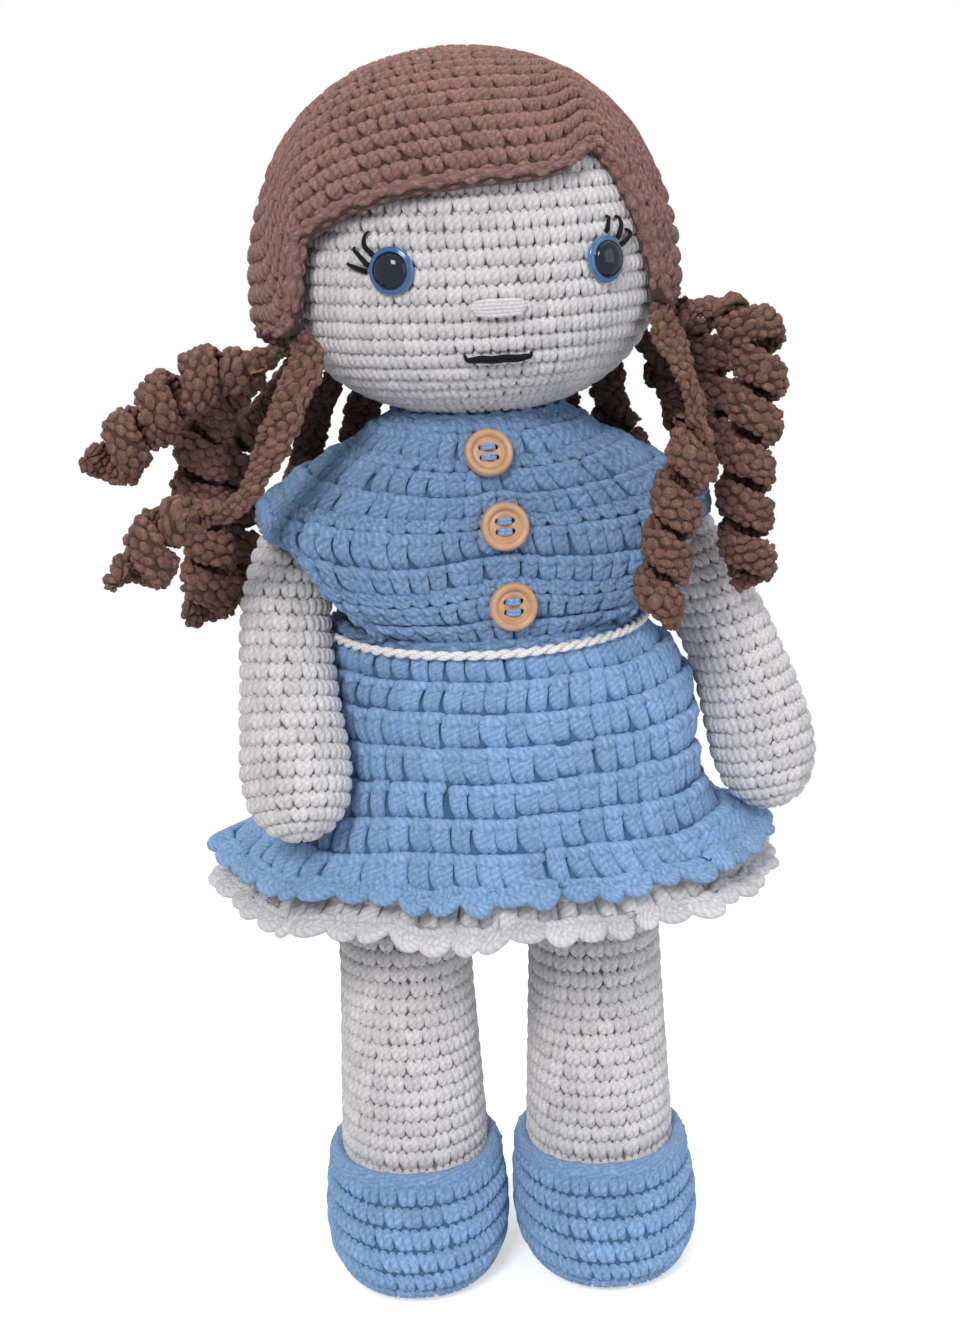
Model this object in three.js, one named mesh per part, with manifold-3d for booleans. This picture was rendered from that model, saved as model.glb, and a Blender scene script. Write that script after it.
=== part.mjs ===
// A crocheted doll in a short-sleeved dress with corkscrew curls, standing 342 mm tall.
// Millimetres, +Z up. The doll faces -Y and its own right side is -X. The floor is z = 0.
import * as THREE from "three";
import { mergeVertices } from "three/addons/utils/BufferGeometryUtils.js";
import Module from "manifold-3d";

const wasm = await Module();
wasm.setup();

// Frame: the doll's own middle plane is x = 0, and the whole is moved so that its box is centred.
const FRAME_SHIFT = [7.2, -0.1, 0];

// Fits
const GAP = 0.35;
const FILLING_GAP = 0.9;
const SKIN = 3.3;
const CLOTH = 3;
const PETTICOAT_CLOTH = 2.7;

// Head: a superellipse of revolution, fuller in the cheeks than at the crown
const HEAD_HALF_WIDTH = 50.5;
const HEAD_HALF_DEPTH = 47.5;
const HEAD_TOP_Z = 336;
const HEAD_MIDDLE_Z = 283;
const HEAD_BOTTOM_Z = 246;
const HEAD_POWER = 2.2;
const HEAD_OPENING_ANGLE = 2.87;
const HEAD_SEGMENTS = 24;
const HEAD_RINGS = 10;
const HEAD_TOP_ANGLE = 0.16;
const HEAD_HOLLOW_RINGS = 7;
const HEAD_HOLLOW_TOP_ANGLE = 0.24;
const HEAD_FILLING_SEGMENTS = 12;

// Eyes: 12 mm safety eyes on a stem, held by a washer inside the head
const EYE_X = 27;
const EYE_Z = 288.5;
const EYE_RADIUS = 6;
const EYE_DOME = 3.4;
const EYE_SEAT = 0.5;
const STEM_RADIUS = 1.9;
const STEM_LENGTH = 9;
const STEM_CLEARANCE = 0.35;
const WASHER_RADIUS = 5.2;
const WASHER_THICKNESS = 1.2;
const WASHER_DEPTH = 5.5;
const WASHER_ROOM = 1;
const WASHER_POCKET = 10.5;

// Face stitches
const NOSE_STITCHES = 4;
// The nose and the mouth sit a little towards the doll's right
const FACE_THREADS_X = -1.5;
const NOSE_HALF_WIDTH = 8;
const NOSE_Z = 275.6;
const NOSE_STEP = 1.35;
const NOSE_TAPER = 0.3;
const NOSE_LIFT = 1.6;
const MOUTH_HALF_WIDTH = 9;
const MOUTH_Z = 266;
const MOUTH_DROOP = 0.7;
const THREAD_RADIUS = 1;
const TUBE_END = 0.55;

// Wig cap: a thick crocheted cap over the head, with a hairline parted over the left eye
const CAP_THICKNESS = 5.2;
const CAP_FULLER_RIGHT = 2.2;
const CAP_LOOSE = 1.1;
const CAP_SLACK = 0.03;
const CAP_SLACK_START = 0.6;
const CAP_SEGMENTS = 28;
const CAP_RINGS = 9;
const CAP_FIRST_SHARE = 0.07;
const CAP_SIDE_Z = { right: 271, left: 275 };
const CAP_NAPE_Z = 256;
const CAP_SIDE_ANGLE = 75;
const CAP_NAPE_ANGLE = 150;
const HAIRLINE = [[-52.5, 240], [-53, 272], [-52.5, 284], [-51, 296], [-40, 303.5], [-25, 308],
  [-5, 310.2], [12, 310.8], [19, 312.4], [25, 317], [28, 317.6], [32.5, 314], [37.5, 306],
  [42, 294], [45, 284], [46.5, 272], [46.5, 240]];
const HAIRLINE_BACK_Y = -8;

// From the waist down the doll is turned a little towards its right, in degrees
const LOWER_TURN = -8;

// Trunk: [z, half width, half depth]
const TRUNK = [[112, 24, 16], [117, 37, 25], [126, 43, 30.5], [140, 43, 32], [158, 40.4, 31],
  [175, 38.6, 30.3], [190, 37.6, 30], [204, 37.6, 29.5], [215, 37.2, 27.5], [226, 32, 24.5],
  [233, 25.5, 21.2], [240, 20.3, 18.8], [246, 19, 18]];
const TRUNK_SEGMENTS = 18;
const NECK_TOP_Z = 245.9;
const TRUNK_FILLING_TOP_Z = 244.9;

// Arms: centre lines, and the radius along them from the shoulder to the hand
const SHOULDER = [0, 0, 214];
const ARM_X = 50.4;
const RIGHT_ARM_LINE = [[-49.6, 0.5, 221.5], [-50.6, 0, 214], [-56.2, -6.5, 197],
  [-57.7, -15.8, 177], [-58, -25.6, 157], [-58, -34.2, 138]];
const LEFT_ARM_LINE = [[49.8, 0, 221.5], [50.6, 0, 214], [61.2, -2.2, 195], [69, -5.6, 177],
  [75, -9.6, 156], [79.6, -13.4, 128]];
const ARM_RADII = [[0, 0.5], [0.035, 6.6], [0.08, 10.4], [0.15, 12], [0.36, 12.6], [0.52, 13.3],
  [0.68, 14.6], [0.8, 15], [0.9, 13], [0.965, 8], [1, 0.8]];
const ARM_SEGMENTS = 12;
const ARM_RINGS = 12;
const ARM_HOLLOW_RINGS = 9;

// Shoulder thread: one thread through both shoulders, knotted inside each arm
const KNOT_X = 47;
const KNOT_RADIUS = 2.2;
const KNOT_POCKET = 3;
const THREAD_THICKNESS = 1.6;
const THREAD_BORE = 1.2;

// Legs and feet: [z, half width, front y, back y], about each leg's own middle
const LEG_X = 27.5;
const LEG = [[5.6, 15.5, -33, 12], [7.2, 19.8, -39, 17.5], [12, 22.3, -43.6, 20.6],
  [18, 22.4, -39.5, 21.3], [24, 22, -29, 21.6], [30, 21.8, -22.4, 21.6], [40, 21.3, -21.3, 21.3],
  [60, 20.4, -20.4, 20.4], [85, 19.3, -19.3, 19.3], [112, 18.6, -18.6, 18.6],
  [124, 17.4, -17.4, 17.4]];
const LEG_SEGMENTS = 16;
const LEG_HOLLOW_Z = [8.9, 12, 18, 24, 30, 60, 130];
const LEG_FILLING_TOP_Z = 121;
const INSOLE = { thickness: 1.5, halfWidth: 14, front: -31, back: 10, z: 9.6 };

// Shoes: [z, half width, front y, back y] of the outside
const SHOE = [[0, 19.5, -39.5, 16.5], [2.2, 22.8, -44.5, 20.5], [8, 25.8, -48.6, 24.2],
  [15, 26.7, -48.4, 25.6], [21, 26.5, -43, 25.9], [26, 25.7, -34.2, 25.4], [29.4, 24.7, -27.2, 24.6],
  [30.4, 23.7, -24.9, 23.7]];
const SHOE_FLOOR_Z = 5.1;
const SHOE_HOLLOW_TOP_Z = 40;
const SHOE_SEGMENTS = 24;
const FOOT_POWER = 2.15;

// Bodice with cap sleeves: [z, half width, half depth, squareness]
const BODICE = [[247.2, 24.2, 22.2, 2], [243, 30.5, 24.6, 2.1], [237, 40.5, 27.8, 2.4],
  [231, 51, 30, 2.9], [225, 58.8, 31.6, 3.6], [220, 61.8, 32.4, 4.2], [214, 58.8, 33, 4.8],
  [207, 54.6, 33.4, 5], [197, 47.8, 34, 3.6], [191, 43.6, 34.4, 2.2], [188.6, 42.4, 34.4, 2]];
const BODICE_SEGMENTS = 28;
const ARMHOLE = { front: -26.5, back: 24, bottom: 189.8, top: 218.6, corner: 7 };

// Skirt and petticoat: [z, half width, half depth]
const SKIRT = [[187.9, 42.4, 34.4], [183, 47.5, 37], [178, 53, 39.3], [168, 59, 42.2],
  [155, 62, 44.6], [142, 64, 46.6], [133, 67.2, 48.7], [127.5, 73, 51.4], [121.5, 81.5, 55.2]];
const PETTICOAT_INSET = 4;
const PETTICOAT_TOP_Z = 168;
const PETTICOAT_FREE_Z = 133;
const PETTICOAT_FLARE = [[125, 65, 46.2], [118.8, 68.8, 48.8], [115.2, 74.6, 52.2],
  [112, 80.5, 55.2]];
const HEM_SIDE_LIFT = 2;
const SKIRT_SEGMENTS = 32;
const HEM_FOLDS = 8;
const HEM_FOLD_DEPTH = 1.2;
const FOLD_START_Z = 150;
const TWIST_END_Z = 168;
// Where an arm leans on the skirt the cloth gives way: direction in degrees, depth, height, spreads
const DENT_START_Z = 179;
const SKIRT_DENTS = [{ toward: 211, depth: 10.4, z: 160, spread: 30, rise: 24 },
  { toward: 359, depth: 5.8, z: 146, spread: 18, rise: 20 }];

// Belt: a twisted cord round the waist
const BELT_RADIUS = 1.1;
const BELT_HALF_WIDTH = 45;
const BELT_HALF_DEPTH = 36.8;
const BELT_STEPS = 32;
const BELT_SIDE_Z = 188.4;
const BELT_FRONT_DROP = 1.8;

// Buttons: 13 mm wooden discs with four holes
const BUTTON_PROFILE = [[0, 0], [5.6, 0], [6.5, 1], [6.3, 2.5], [5.5, 3.1], [4.6, 2.6], [3.8, 1.9],
  [0, 1.6]];
const BUTTON_HOLE = { x: 1.9, y: 1.4, radius: 0.75 };
const BUTTONS = [{ name: "top", x: -2.6, z: 238.2, tilt: 27 }, { name: "middle", x: 0, z: 220.2,
  tilt: 8 }, { name: "bottom", x: 1.2, z: 199, tilt: 4 }];
const BUTTON_STANDOFF = 0.9;
const YARN_BAR = 1;

// Curls: a flat crocheted cord that hangs as a strap and then winds as a corkscrew
const CORD_WIDTH = 8;
const STRAP_WIDTH = 9.6;
const BACK_STRAP_WIDTH = 11;
const CORD_THICKNESS = 4.4;
const CURL_STEPS = 8;
const CURL_SIDES = 5;
const STRAP_STEP = 9;
const CURL_PITCH = 12.4;
const CURL_RAMP_TURNS = 0.7;
const BACK_ANGLE = 115;
const RIM_CLEARANCE = 1.5;
// Each curl starts under the cap's rim, at an azimuth in degrees from the front, positive on the
// doll's left, and follows its route. It is straight for a length before its corkscrew starts.
const CURLS = [
  { name: "right_curl_1", from: -61, radius: 5.2, straight: 58, route: [[-53, -34, 259],
    [-57.5, -38.5, 250], [-63, -40, 241], [-67.3, -41, 234], [-73, -42, 230.6], [-79.5, -42, 232],
    [-86, -42, 230.5], [-91, -41.5, 223], [-97, -40, 213]] },
  { name: "right_curl_2", from: -78, radius: 5.6, straight: 9, route: [[-62, -14, 265.5],
    [-72.6, -15, 262.5], [-83, -17, 257.5], [-93, -18, 248.5], [-102, -19, 239.5]] },
  { name: "right_curl_3", from: -95, radius: 5.4, straight: 8, route: [[-64, 4.5, 259],
    [-73, 4.2, 249], [-76.5, 4, 237], [-76, 4, 224], [-75.5, 4, 210], [-77.5, 4, 193]] },
  { name: "right_curl_4", from: -112, radius: 5, straight: 17, route: [[-56, 22, 250],
    [-63, 24, 238], [-67, 27, 226], [-66, 28.5, 213], [-65.5, 28, 195]] },
  { name: "back_curl_1", from: -132, radius: 5, straight: 28, route: [[-40.5, 34, 245],
    [-43, 37.5, 236], [-45.5, 42, 220], [-46, 44.5, 205]] },
  { name: "back_curl_2", from: -149, radius: 5, straight: 28, route: [[-26.5, 42.5, 243],
    [-28, 45, 232], [-28.5, 46.5, 215], [-28, 47, 200]] },
  { name: "back_curl_3", from: -168, radius: 5, straight: 22, route: [[-10.5, 47, 244],
    [-10.5, 49, 230], [-10, 49, 212], [-9, 49, 191]] },
  { name: "back_curl_4", from: 165, radius: 5, straight: 26, route: [[12, 46.5, 244],
    [12.5, 48.5, 230], [13.5, 49, 214], [14.5, 49, 197]] },
  { name: "back_curl_5", from: 140, radius: 5, straight: 26, route: [[30.5, 39, 244],
    [33, 43, 231], [35, 46, 213], [34.5, 46.5, 195]] },
  { name: "back_curl_6", from: 121, radius: 5, straight: 24, route: [[43, 28.5, 247],
    [48, 33.5, 234], [51, 38.5, 219], [51.5, 41, 205]] },
  { name: "left_curl_4", from: 107, radius: 5.2, straight: 15, route: [[56.5, 18, 254],
    [64, 22.5, 243], [68, 26, 232], [69, 27.5, 221]] },
  { name: "left_curl_3", from: 94, radius: 5.2, straight: 9, route: [[61, 5, 266],
    [67.5, 6, 256], [70, 7, 244], [69.5, 7.6, 230]] },
  { name: "left_curl_2", from: 76, radius: 5.6, straight: 12, route: [[59.5, -14.2, 272],
    [67.5, -17, 271], [73.2, -19, 264], [73, -20.5, 251], [69.8, -22, 235], [68.3, -24, 219],
    [68.3, -26, 199]] },
  { name: "left_curl_1", from: 58, radius: 4.8, straight: 30, route: [[47.5, -34, 262],
    [50.5, -40, 250], [49, -43, 240], [44.5, -43.8, 228], [41.5, -43.8, 214], [37.5, -43.8, 195]] },
];

const COLOURS = { cream: 0xd8d4d0, hair: 0x7a5448, blue: 0x7094c0, wood: 0xcf9d6e, thread: 0x111214,
  eye: 0x22486e, plastic: 0xe6e6e2, stuffing: 0xf4f2ee, board: 0xb79c78, belt: 0xe9e6e1 };

const AXIS_X = new THREE.Vector3(1, 0, 0);
const AXIS_Z = new THREE.Vector3(0, 0, 1);

// Geometry helpers

function solid(geometry) {
  const bare = geometry.clone();
  bare.deleteAttribute("normal");
  bare.deleteAttribute("uv");
  const merged = mergeVertices(bare, 1e-4);
  const vertProperties = merged.attributes.position.array;
  const triVerts = new Uint32Array(merged.index.array);
  return new wasm.Manifold(new wasm.Mesh({ numProp: 3, vertProperties, triVerts }));
}

function geometryOf(manifold) {
  const mesh = manifold.getMesh();
  const points = new Float32Array(mesh.numVert * 3);
  for (let i = 0; i < mesh.numVert; i++) {
    points.set(mesh.vertProperties.subarray(i * mesh.numProp, i * mesh.numProp + 3), i * 3);
  }
  const geometry = new THREE.BufferGeometry();
  geometry.setAttribute("position", new THREE.BufferAttribute(points, 3));
  geometry.setIndex(new THREE.BufferAttribute(mesh.triVerts, 1));
  return geometry;
}

// Joins rings of points into a closed surface. A looped loft closes on its first ring, and any
// other loft ends in a fan on the middle of its first and last ring.
function loft(rings, looped = false) {
  const count = rings[0].length;
  const points = rings.flat();
  const faces = [];
  const bands = looped ? rings.length : rings.length - 1;
  for (let i = 0; i < bands; i++) {
    const a = i * count;
    const b = ((i + 1) % rings.length) * count;
    for (let k = 0; k < count; k++) {
      const n = (k + 1) % count;
      faces.push(a + k, a + n, b + k, a + n, b + n, b + k);
    }
  }
  if (!looped) {
    for (const [start, turn] of [[0, 1], [(rings.length - 1) * count, 0]]) {
      const ring = points.slice(start, start + count);
      const middle = ring.reduce((sum, p) => sum.add(p), new THREE.Vector3()).divideScalar(count);
      points.push(middle);
      for (let k = 0; k < count; k++) {
        const n = (k + 1) % count;
        const pair = turn ? [start + n, start + k] : [start + k, start + n];
        faces.push(...pair, points.length - 1);
      }
    }
  }
  const geometry = new THREE.BufferGeometry().setFromPoints(points);
  geometry.setIndex(faces);
  return facingOut(geometry);
}

function facingOut(geometry) {
  const p = geometry.attributes.position;
  const index = geometry.index.array;
  const [a, b, c] = [new THREE.Vector3(), new THREE.Vector3(), new THREE.Vector3()];
  let volume = 0;
  for (let i = 0; i < index.length; i += 3) {
    a.fromBufferAttribute(p, index[i]);
    b.fromBufferAttribute(p, index[i + 1]);
    c.fromBufferAttribute(p, index[i + 2]);
    volume += a.dot(b.cross(c));
  }
  if (volume < 0) {
    const turned = [];
    for (let i = 0; i < index.length; i += 3) turned.push(index[i], index[i + 2], index[i + 1]);
    geometry.setIndex(turned);
  }
  return geometry;
}

// A superellipse ring at height z about (x, y).
function oval({ z, a, b, x = 0, y = 0, power = 2, count }) {
  const ring = [];
  for (let k = 0; k < count; k++) {
    const t = (2 * Math.PI * k) / count;
    const c = Math.cos(t);
    const s = Math.sin(t);
    const px = a * Math.sign(c) * Math.pow(Math.abs(c), 2 / power);
    const py = b * Math.sign(s) * Math.pow(Math.abs(s), 2 / power);
    ring.push(new THREE.Vector3(x + px, y + py, z));
  }
  return ring;
}

// The value of each column of a table of rows [key, ...values] at a key, smooth between the rows.
function along(rows, key) {
  const rising = rows[0][0] < rows[rows.length - 1][0];
  const sorted = rising ? rows : [...rows].reverse();
  let i = 0;
  while (i < sorted.length - 2 && sorted[i + 1][0] < key) i++;
  const before = sorted[Math.max(0, i - 1)];
  const start = sorted[i];
  const end = sorted[i + 1];
  const after = sorted[Math.min(sorted.length - 1, i + 2)];
  const span = end[0] - start[0];
  const t = Math.min(1, Math.max(0, (key - start[0]) / span));
  return start.slice(1).map((v, n) => {
    const c = n + 1;
    const m0 = i ? ((end[c] - before[c]) / (end[0] - before[0])) * span : end[c] - v;
    const m1 = after === end ? end[c] - v : ((after[c] - v) / (after[0] - start[0])) * span;
    const t2 = t * t;
    const t3 = t2 * t;
    return (2 * t3 - 3 * t2 + 1) * v + (t3 - 2 * t2 + t) * m0 + (3 * t2 - 2 * t3) * end[c]
      + (t3 - t2) * m1;
  });
}

// A ring turned about the doll's upright axis.
function turnedRing(ring, degrees) {
  const angle = THREE.MathUtils.degToRad(degrees);
  return ring.map((p) => p.applyAxisAngle(AXIS_Z, angle));
}

function smoothstep(from, to, value) {
  const t = Math.min(1, Math.max(0, (value - from) / (to - from)));
  return t * t * (3 - 2 * t);
}

function spaced(from, to, count) {
  return Array.from({ length: count }, (_, i) => from + ((to - from) * i) / (count - 1));
}

// A solid of revolution about +Z from a profile of [radius, z].
function turned(profile, segments) {
  const points = profile.map(([r, z]) => new THREE.Vector2(r, z));
  return new THREE.LatheGeometry(points, segments).rotateX(Math.PI / 2);
}

function rod(radius, length, segments) {
  return new THREE.CylinderGeometry(radius, radius, length, segments).rotateX(Math.PI / 2);
}

// A turn of +Z to a direction, and a move to a point.
function placement(point, direction) {
  const turn = new THREE.Quaternion().setFromUnitVectors(AXIS_Z, direction);
  return new THREE.Matrix4().compose(point, turn, new THREE.Vector3(1, 1, 1));
}

// A round tube through a list of points, narrowed at its ends.
function tube(points, radius, sides) {
  const rings = points.map((p, i) => {
    const before = points[Math.max(0, i - 1)];
    const after = points[Math.min(points.length - 1, i + 1)];
    const direction = after.clone().sub(before).normalize();
    const across = new THREE.Vector3().crossVectors(direction, AXIS_Z).normalize();
    const up = new THREE.Vector3().crossVectors(across, direction);
    const end = i === 0 || i === points.length - 1;
    const r = end ? radius * TUBE_END : radius;
    const ring = [];
    for (let k = 0; k < sides; k++) {
      const t = (2 * Math.PI * k) / sides;
      ring.push(p.clone().addScaledVector(across, r * Math.cos(t)).addScaledVector(up,
        r * Math.sin(t)));
    }
    return ring;
  });
  return loft(rings);
}

// Head

function headRing(offset, angle, count = HEAD_SEGMENTS) {
  const c = Math.cos(angle);
  const s = Math.pow(Math.sin(angle), 2 / HEAD_POWER);
  const reach = (c > 0 ? HEAD_TOP_Z - HEAD_MIDDLE_Z : HEAD_MIDDLE_Z - HEAD_BOTTOM_Z) + offset;
  const z = HEAD_MIDDLE_Z + reach * Math.sign(c) * Math.pow(Math.abs(c), 2 / HEAD_POWER);
  return oval({ z, a: (HEAD_HALF_WIDTH + offset) * s, b: (HEAD_HALF_DEPTH + offset) * s, count });
}

// The front of the head at (x, z).
function faceSpot(x, z) {
  const reach = z > HEAD_MIDDLE_Z ? HEAD_TOP_Z - HEAD_MIDDLE_Z : HEAD_MIDDLE_Z - HEAD_BOTTOM_Z;
  const t = Math.pow(Math.abs(z - HEAD_MIDDLE_Z) / reach, HEAD_POWER);
  const s = Math.pow(1 - t, 1 / HEAD_POWER);
  const y = -HEAD_HALF_DEPTH * s * Math.sqrt(1 - (x / (HEAD_HALF_WIDTH * s)) ** 2);
  return new THREE.Vector3(x, y, z);
}

// The direction that the front of the head faces at (x, z).
function faceDirection(x, z) {
  const step = 0.5;
  const across = faceSpot(x + step, z).sub(faceSpot(x - step, z));
  const upward = faceSpot(x, z + step).sub(faceSpot(x, z - step));
  return across.cross(upward).normalize();
}

function eyePlacement(side) {
  const direction = faceDirection(side * EYE_X, EYE_Z);
  return placement(faceSpot(side * EYE_X, EYE_Z).addScaledVector(direction, EYE_SEAT), direction);
}

function eye() {
  const dome = [];
  for (let i = 0; i <= 4; i++) {
    const t = (Math.PI / 2) * (i / 4);
    dome.push([EYE_RADIUS * Math.cos(t), 0.6 + (EYE_DOME - 0.6) * Math.sin(t)]);
  }
  dome[4][0] = 0;
  return turned([[0, -STEM_LENGTH], [STEM_RADIUS, -STEM_LENGTH], [STEM_RADIUS, 0],
    [EYE_RADIUS, 0], ...dome], 16);
}

function eyeWasher() {
  const hole = STEM_RADIUS + STEM_CLEARANCE;
  return turned([[hole, 0], [WASHER_RADIUS, 0], [WASHER_RADIUS, WASHER_THICKNESS],
    [hole, WASHER_THICKNESS], [hole, 0]], 14).translate(0, 0, -EYE_SEAT - WASHER_DEPTH
    - WASHER_THICKNESS);
}

function headSkin() {
  const outer = spaced(HEAD_TOP_ANGLE, HEAD_OPENING_ANGLE, HEAD_RINGS);
  const inner = spaced(HEAD_OPENING_ANGLE, HEAD_HOLLOW_TOP_ANGLE, HEAD_HOLLOW_RINGS);
  const rings = [...outer.map((t) => headRing(0, t)), ...inner.map((t) => headRing(-SKIN, t))];
  let skin = solid(loft(rings));
  for (const side of [-1, 1]) {
    const hole = rod(STEM_RADIUS + STEM_CLEARANCE, 2 * STEM_LENGTH, 10).applyMatrix4(eyePlacement(side));
    skin = skin.subtract(solid(hole));
  }
  return geometryOf(skin);
}

function headFilling() {
  const inset = SKIN + FILLING_GAP;
  const angles = spaced(HEAD_HOLLOW_TOP_ANGLE, HEAD_OPENING_ANGLE, HEAD_HOLLOW_RINGS);
  let filling = solid(loft(angles.map((t) => headRing(-inset, t, HEAD_FILLING_SEGMENTS))));
  for (const side of [-1, 1]) {
    const pocket = rod(WASHER_RADIUS + WASHER_ROOM, 2 * WASHER_POCKET, 10);
    filling = filling.subtract(solid(pocket.applyMatrix4(eyePlacement(side))));
  }
  return geometryOf(filling);
}

// A thread laid over the face, drooping or rising at its ends, and lifted in its middle.
function faceThread(halfWidth, z, droop, lift) {
  const points = [];
  for (const place of spaced(-1, 1, 6)) {
    const x = FACE_THREADS_X + halfWidth * place;
    const end = Math.abs(place);
    const height = z + droop * (end * end - 0.5);
    const out = THREAD_RADIUS + GAP + lift * (1 - end * end);
    points.push(faceSpot(x, height).addScaledVector(faceDirection(x, height), out));
  }
  return tube(points, THREAD_RADIUS, 5);
}

function nose() {
  const stitch = (i) => solid(faceThread(NOSE_HALF_WIDTH - NOSE_TAPER * i, NOSE_Z + i * NOSE_STEP,
    0, NOSE_LIFT));
  let stitches = stitch(0);
  for (let i = 1; i < NOSE_STITCHES; i++) stitches = stitches.add(stitch(i));
  return geometryOf(stitches);
}

// Wig cap

function capRimZ(azimuth) {
  const turn = smoothstep(CAP_SIDE_ANGLE, CAP_NAPE_ANGLE, Math.abs(azimuth));
  const side = azimuth > 0 ? CAP_SIDE_Z.left : CAP_SIDE_Z.right;
  return side + (CAP_NAPE_Z - side) * turn;
}

// The azimuth in degrees of a spot seen from above: 0 in front, positive on the doll's left.
function azimuthOf(x, y) {
  return THREE.MathUtils.radToDeg(Math.atan2(x, -y));
}

// The cap's surface at a share of the way from the crown to the rim, below an edge spot that lies
// on the head's widest ring.
function capSpot(edge, offset, share, shift) {
  const rim = capRimZ(azimuthOf(edge.x, edge.y));
  const reachDown = (rim - HEAD_MIDDLE_Z) / (HEAD_MIDDLE_Z - HEAD_BOTTOM_Z + offset);
  const last = Math.PI / 2 + Math.asin(Math.pow(Math.abs(reachDown), HEAD_POWER / 2));
  const angle = share * last;
  const c = Math.cos(angle);
  const s = Math.pow(Math.sin(angle), 2 / HEAD_POWER);
  const reach = (c > 0 ? HEAD_TOP_Z - HEAD_MIDDLE_Z : HEAD_MIDDLE_Z - HEAD_BOTTOM_Z) + offset;
  const z = HEAD_MIDDLE_Z + reach * Math.sign(c) * Math.pow(Math.abs(c), 2 / HEAD_POWER);
  const slack = 1 + CAP_SLACK * smoothstep(CAP_SLACK_START, 1, share);
  return new THREE.Vector3(edge.x * s * slack - shift, edge.y * s * slack, z);
}

function capRing(offset, share, shift) {
  const ring = headRing(offset, Math.PI / 2, CAP_SEGMENTS);
  return ring.map((edge) => capSpot(edge, offset, share, shift));
}

function wigCap() {
  const shares = spaced(CAP_FIRST_SHARE, 1, CAP_RINGS);
  const outer = shares.map((t) => capRing(CAP_LOOSE + CAP_THICKNESS, t, CAP_FULLER_RIGHT));
  const inner = shares.reverse().map((t) => capRing(CAP_LOOSE, t, 0));
  const outline = new THREE.Shape(HAIRLINE.map(([x, z]) => new THREE.Vector2(x, z)));
  const face = new THREE.ExtrudeGeometry(outline, { depth: 100, bevelEnabled: false });
  face.rotateX(Math.PI / 2).translate(0, HAIRLINE_BACK_Y, 0);
  return geometryOf(solid(loft([...outer, ...inner])).subtract(solid(face)));
}

// Trunk

function trunkSolid(offset, top) {
  const bottom = TRUNK[0][0] - offset;
  const every = offset < 0 ? 2 : 1;
  const rows = TRUNK.filter(([z], i) => z > bottom + 1 && z < NECK_TOP_Z - 2 && i % every === 0);
  const levels = [bottom, ...rows.map(([z]) => z), top];
  return solid(loft(levels.map((z) => {
    const [a, b] = z === bottom ? TRUNK[0].slice(1) : along(TRUNK, Math.min(z, NECK_TOP_Z));
    return oval({ z, a: a + offset, b: b + offset, count: TRUNK_SEGMENTS });
  })));
}

function bore(radius, halfLength) {
  const hole = rod(radius, 2 * halfLength, 8).rotateY(Math.PI / 2);
  return solid(hole.translate(...SHOULDER));
}

function trunkSkin() {
  const skin = trunkSolid(0, NECK_TOP_Z).subtract(trunkSolid(-SKIN, NECK_TOP_Z + 8));
  return geometryOf(skin.subtract(bore(THREAD_BORE, ARM_X)));
}

function trunkFilling() {
  const filling = trunkSolid(-SKIN - FILLING_GAP, TRUNK_FILLING_TOP_Z);
  return geometryOf(filling.subtract(bore(THREAD_BORE, ARM_X)));
}

// Arms

function armSolid(line, inset, rings) {
  const curve = new THREE.CatmullRomCurve3(line.map((p) => new THREE.Vector3(...p)));
  const length = curve.getLength();
  const list = [];
  for (let i = 0; i <= rings; i++) {
    const share = (1 - Math.cos((Math.PI * i) / rings)) / 2;
    const trimmed = (inset + share * (length - 2 * inset)) / length;
    const point = curve.getPointAt(trimmed);
    const direction = curve.getTangentAt(trimmed);
    const across = new THREE.Vector3().crossVectors(direction, AXIS_X).normalize();
    const side = new THREE.Vector3().crossVectors(across, direction);
    const radius = Math.max(0.4, along(ARM_RADII, trimmed)[0] - inset);
    list.push(Array.from({ length: ARM_SEGMENTS }, (_, k) => {
      const t = (2 * Math.PI * k) / ARM_SEGMENTS;
      return point.clone().addScaledVector(across, radius * Math.cos(t)).addScaledVector(side,
        radius * Math.sin(t));
    }));
  }
  return solid(loft(list));
}

function armSkin(line) {
  const skin = armSolid(line, 0, ARM_RINGS).subtract(armSolid(line, SKIN, ARM_HOLLOW_RINGS));
  return geometryOf(skin.subtract(bore(THREAD_BORE, ARM_X)));
}

function armFilling(line) {
  const filling = armSolid(line, SKIN + FILLING_GAP, ARM_HOLLOW_RINGS);
  return geometryOf(filling.subtract(bore(KNOT_POCKET, KNOT_X + KNOT_POCKET)));
}

function shoulderThread() {
  let thread = bore(THREAD_THICKNESS / 2, KNOT_X);
  for (const side of [-1, 1]) {
    const knot = new THREE.IcosahedronGeometry(KNOT_RADIUS, 1);
    knot.translate(side * KNOT_X, 0, SHOULDER[2]);
    thread = thread.add(solid(knot));
  }
  return geometryOf(thread);
}

// Legs and shoes

function footRing(rows, side, inset, z, count) {
  const [a, front, back] = along(rows, Math.max(z, rows[0][0]));
  const ring = oval({ z, a: a - inset, b: (back - front) / 2 - inset, x: side * LEG_X,
    y: (front + back) / 2, power: FOOT_POWER, count });
  return turnedRing(ring, LOWER_TURN);
}

function legSolid(side, inset, levels) {
  return solid(loft(levels.map((z) => footRing(LEG, side, inset, z, LEG_SEGMENTS))));
}

function legSkin(side) {
  const skin = legSolid(side, 0, LEG.map(([z]) => z));
  const hollow = legSolid(side, SKIN, LEG_HOLLOW_Z);
  return geometryOf(skin.subtract(hollow).subtract(trunkSolid(GAP, NECK_TOP_Z)));
}

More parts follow.
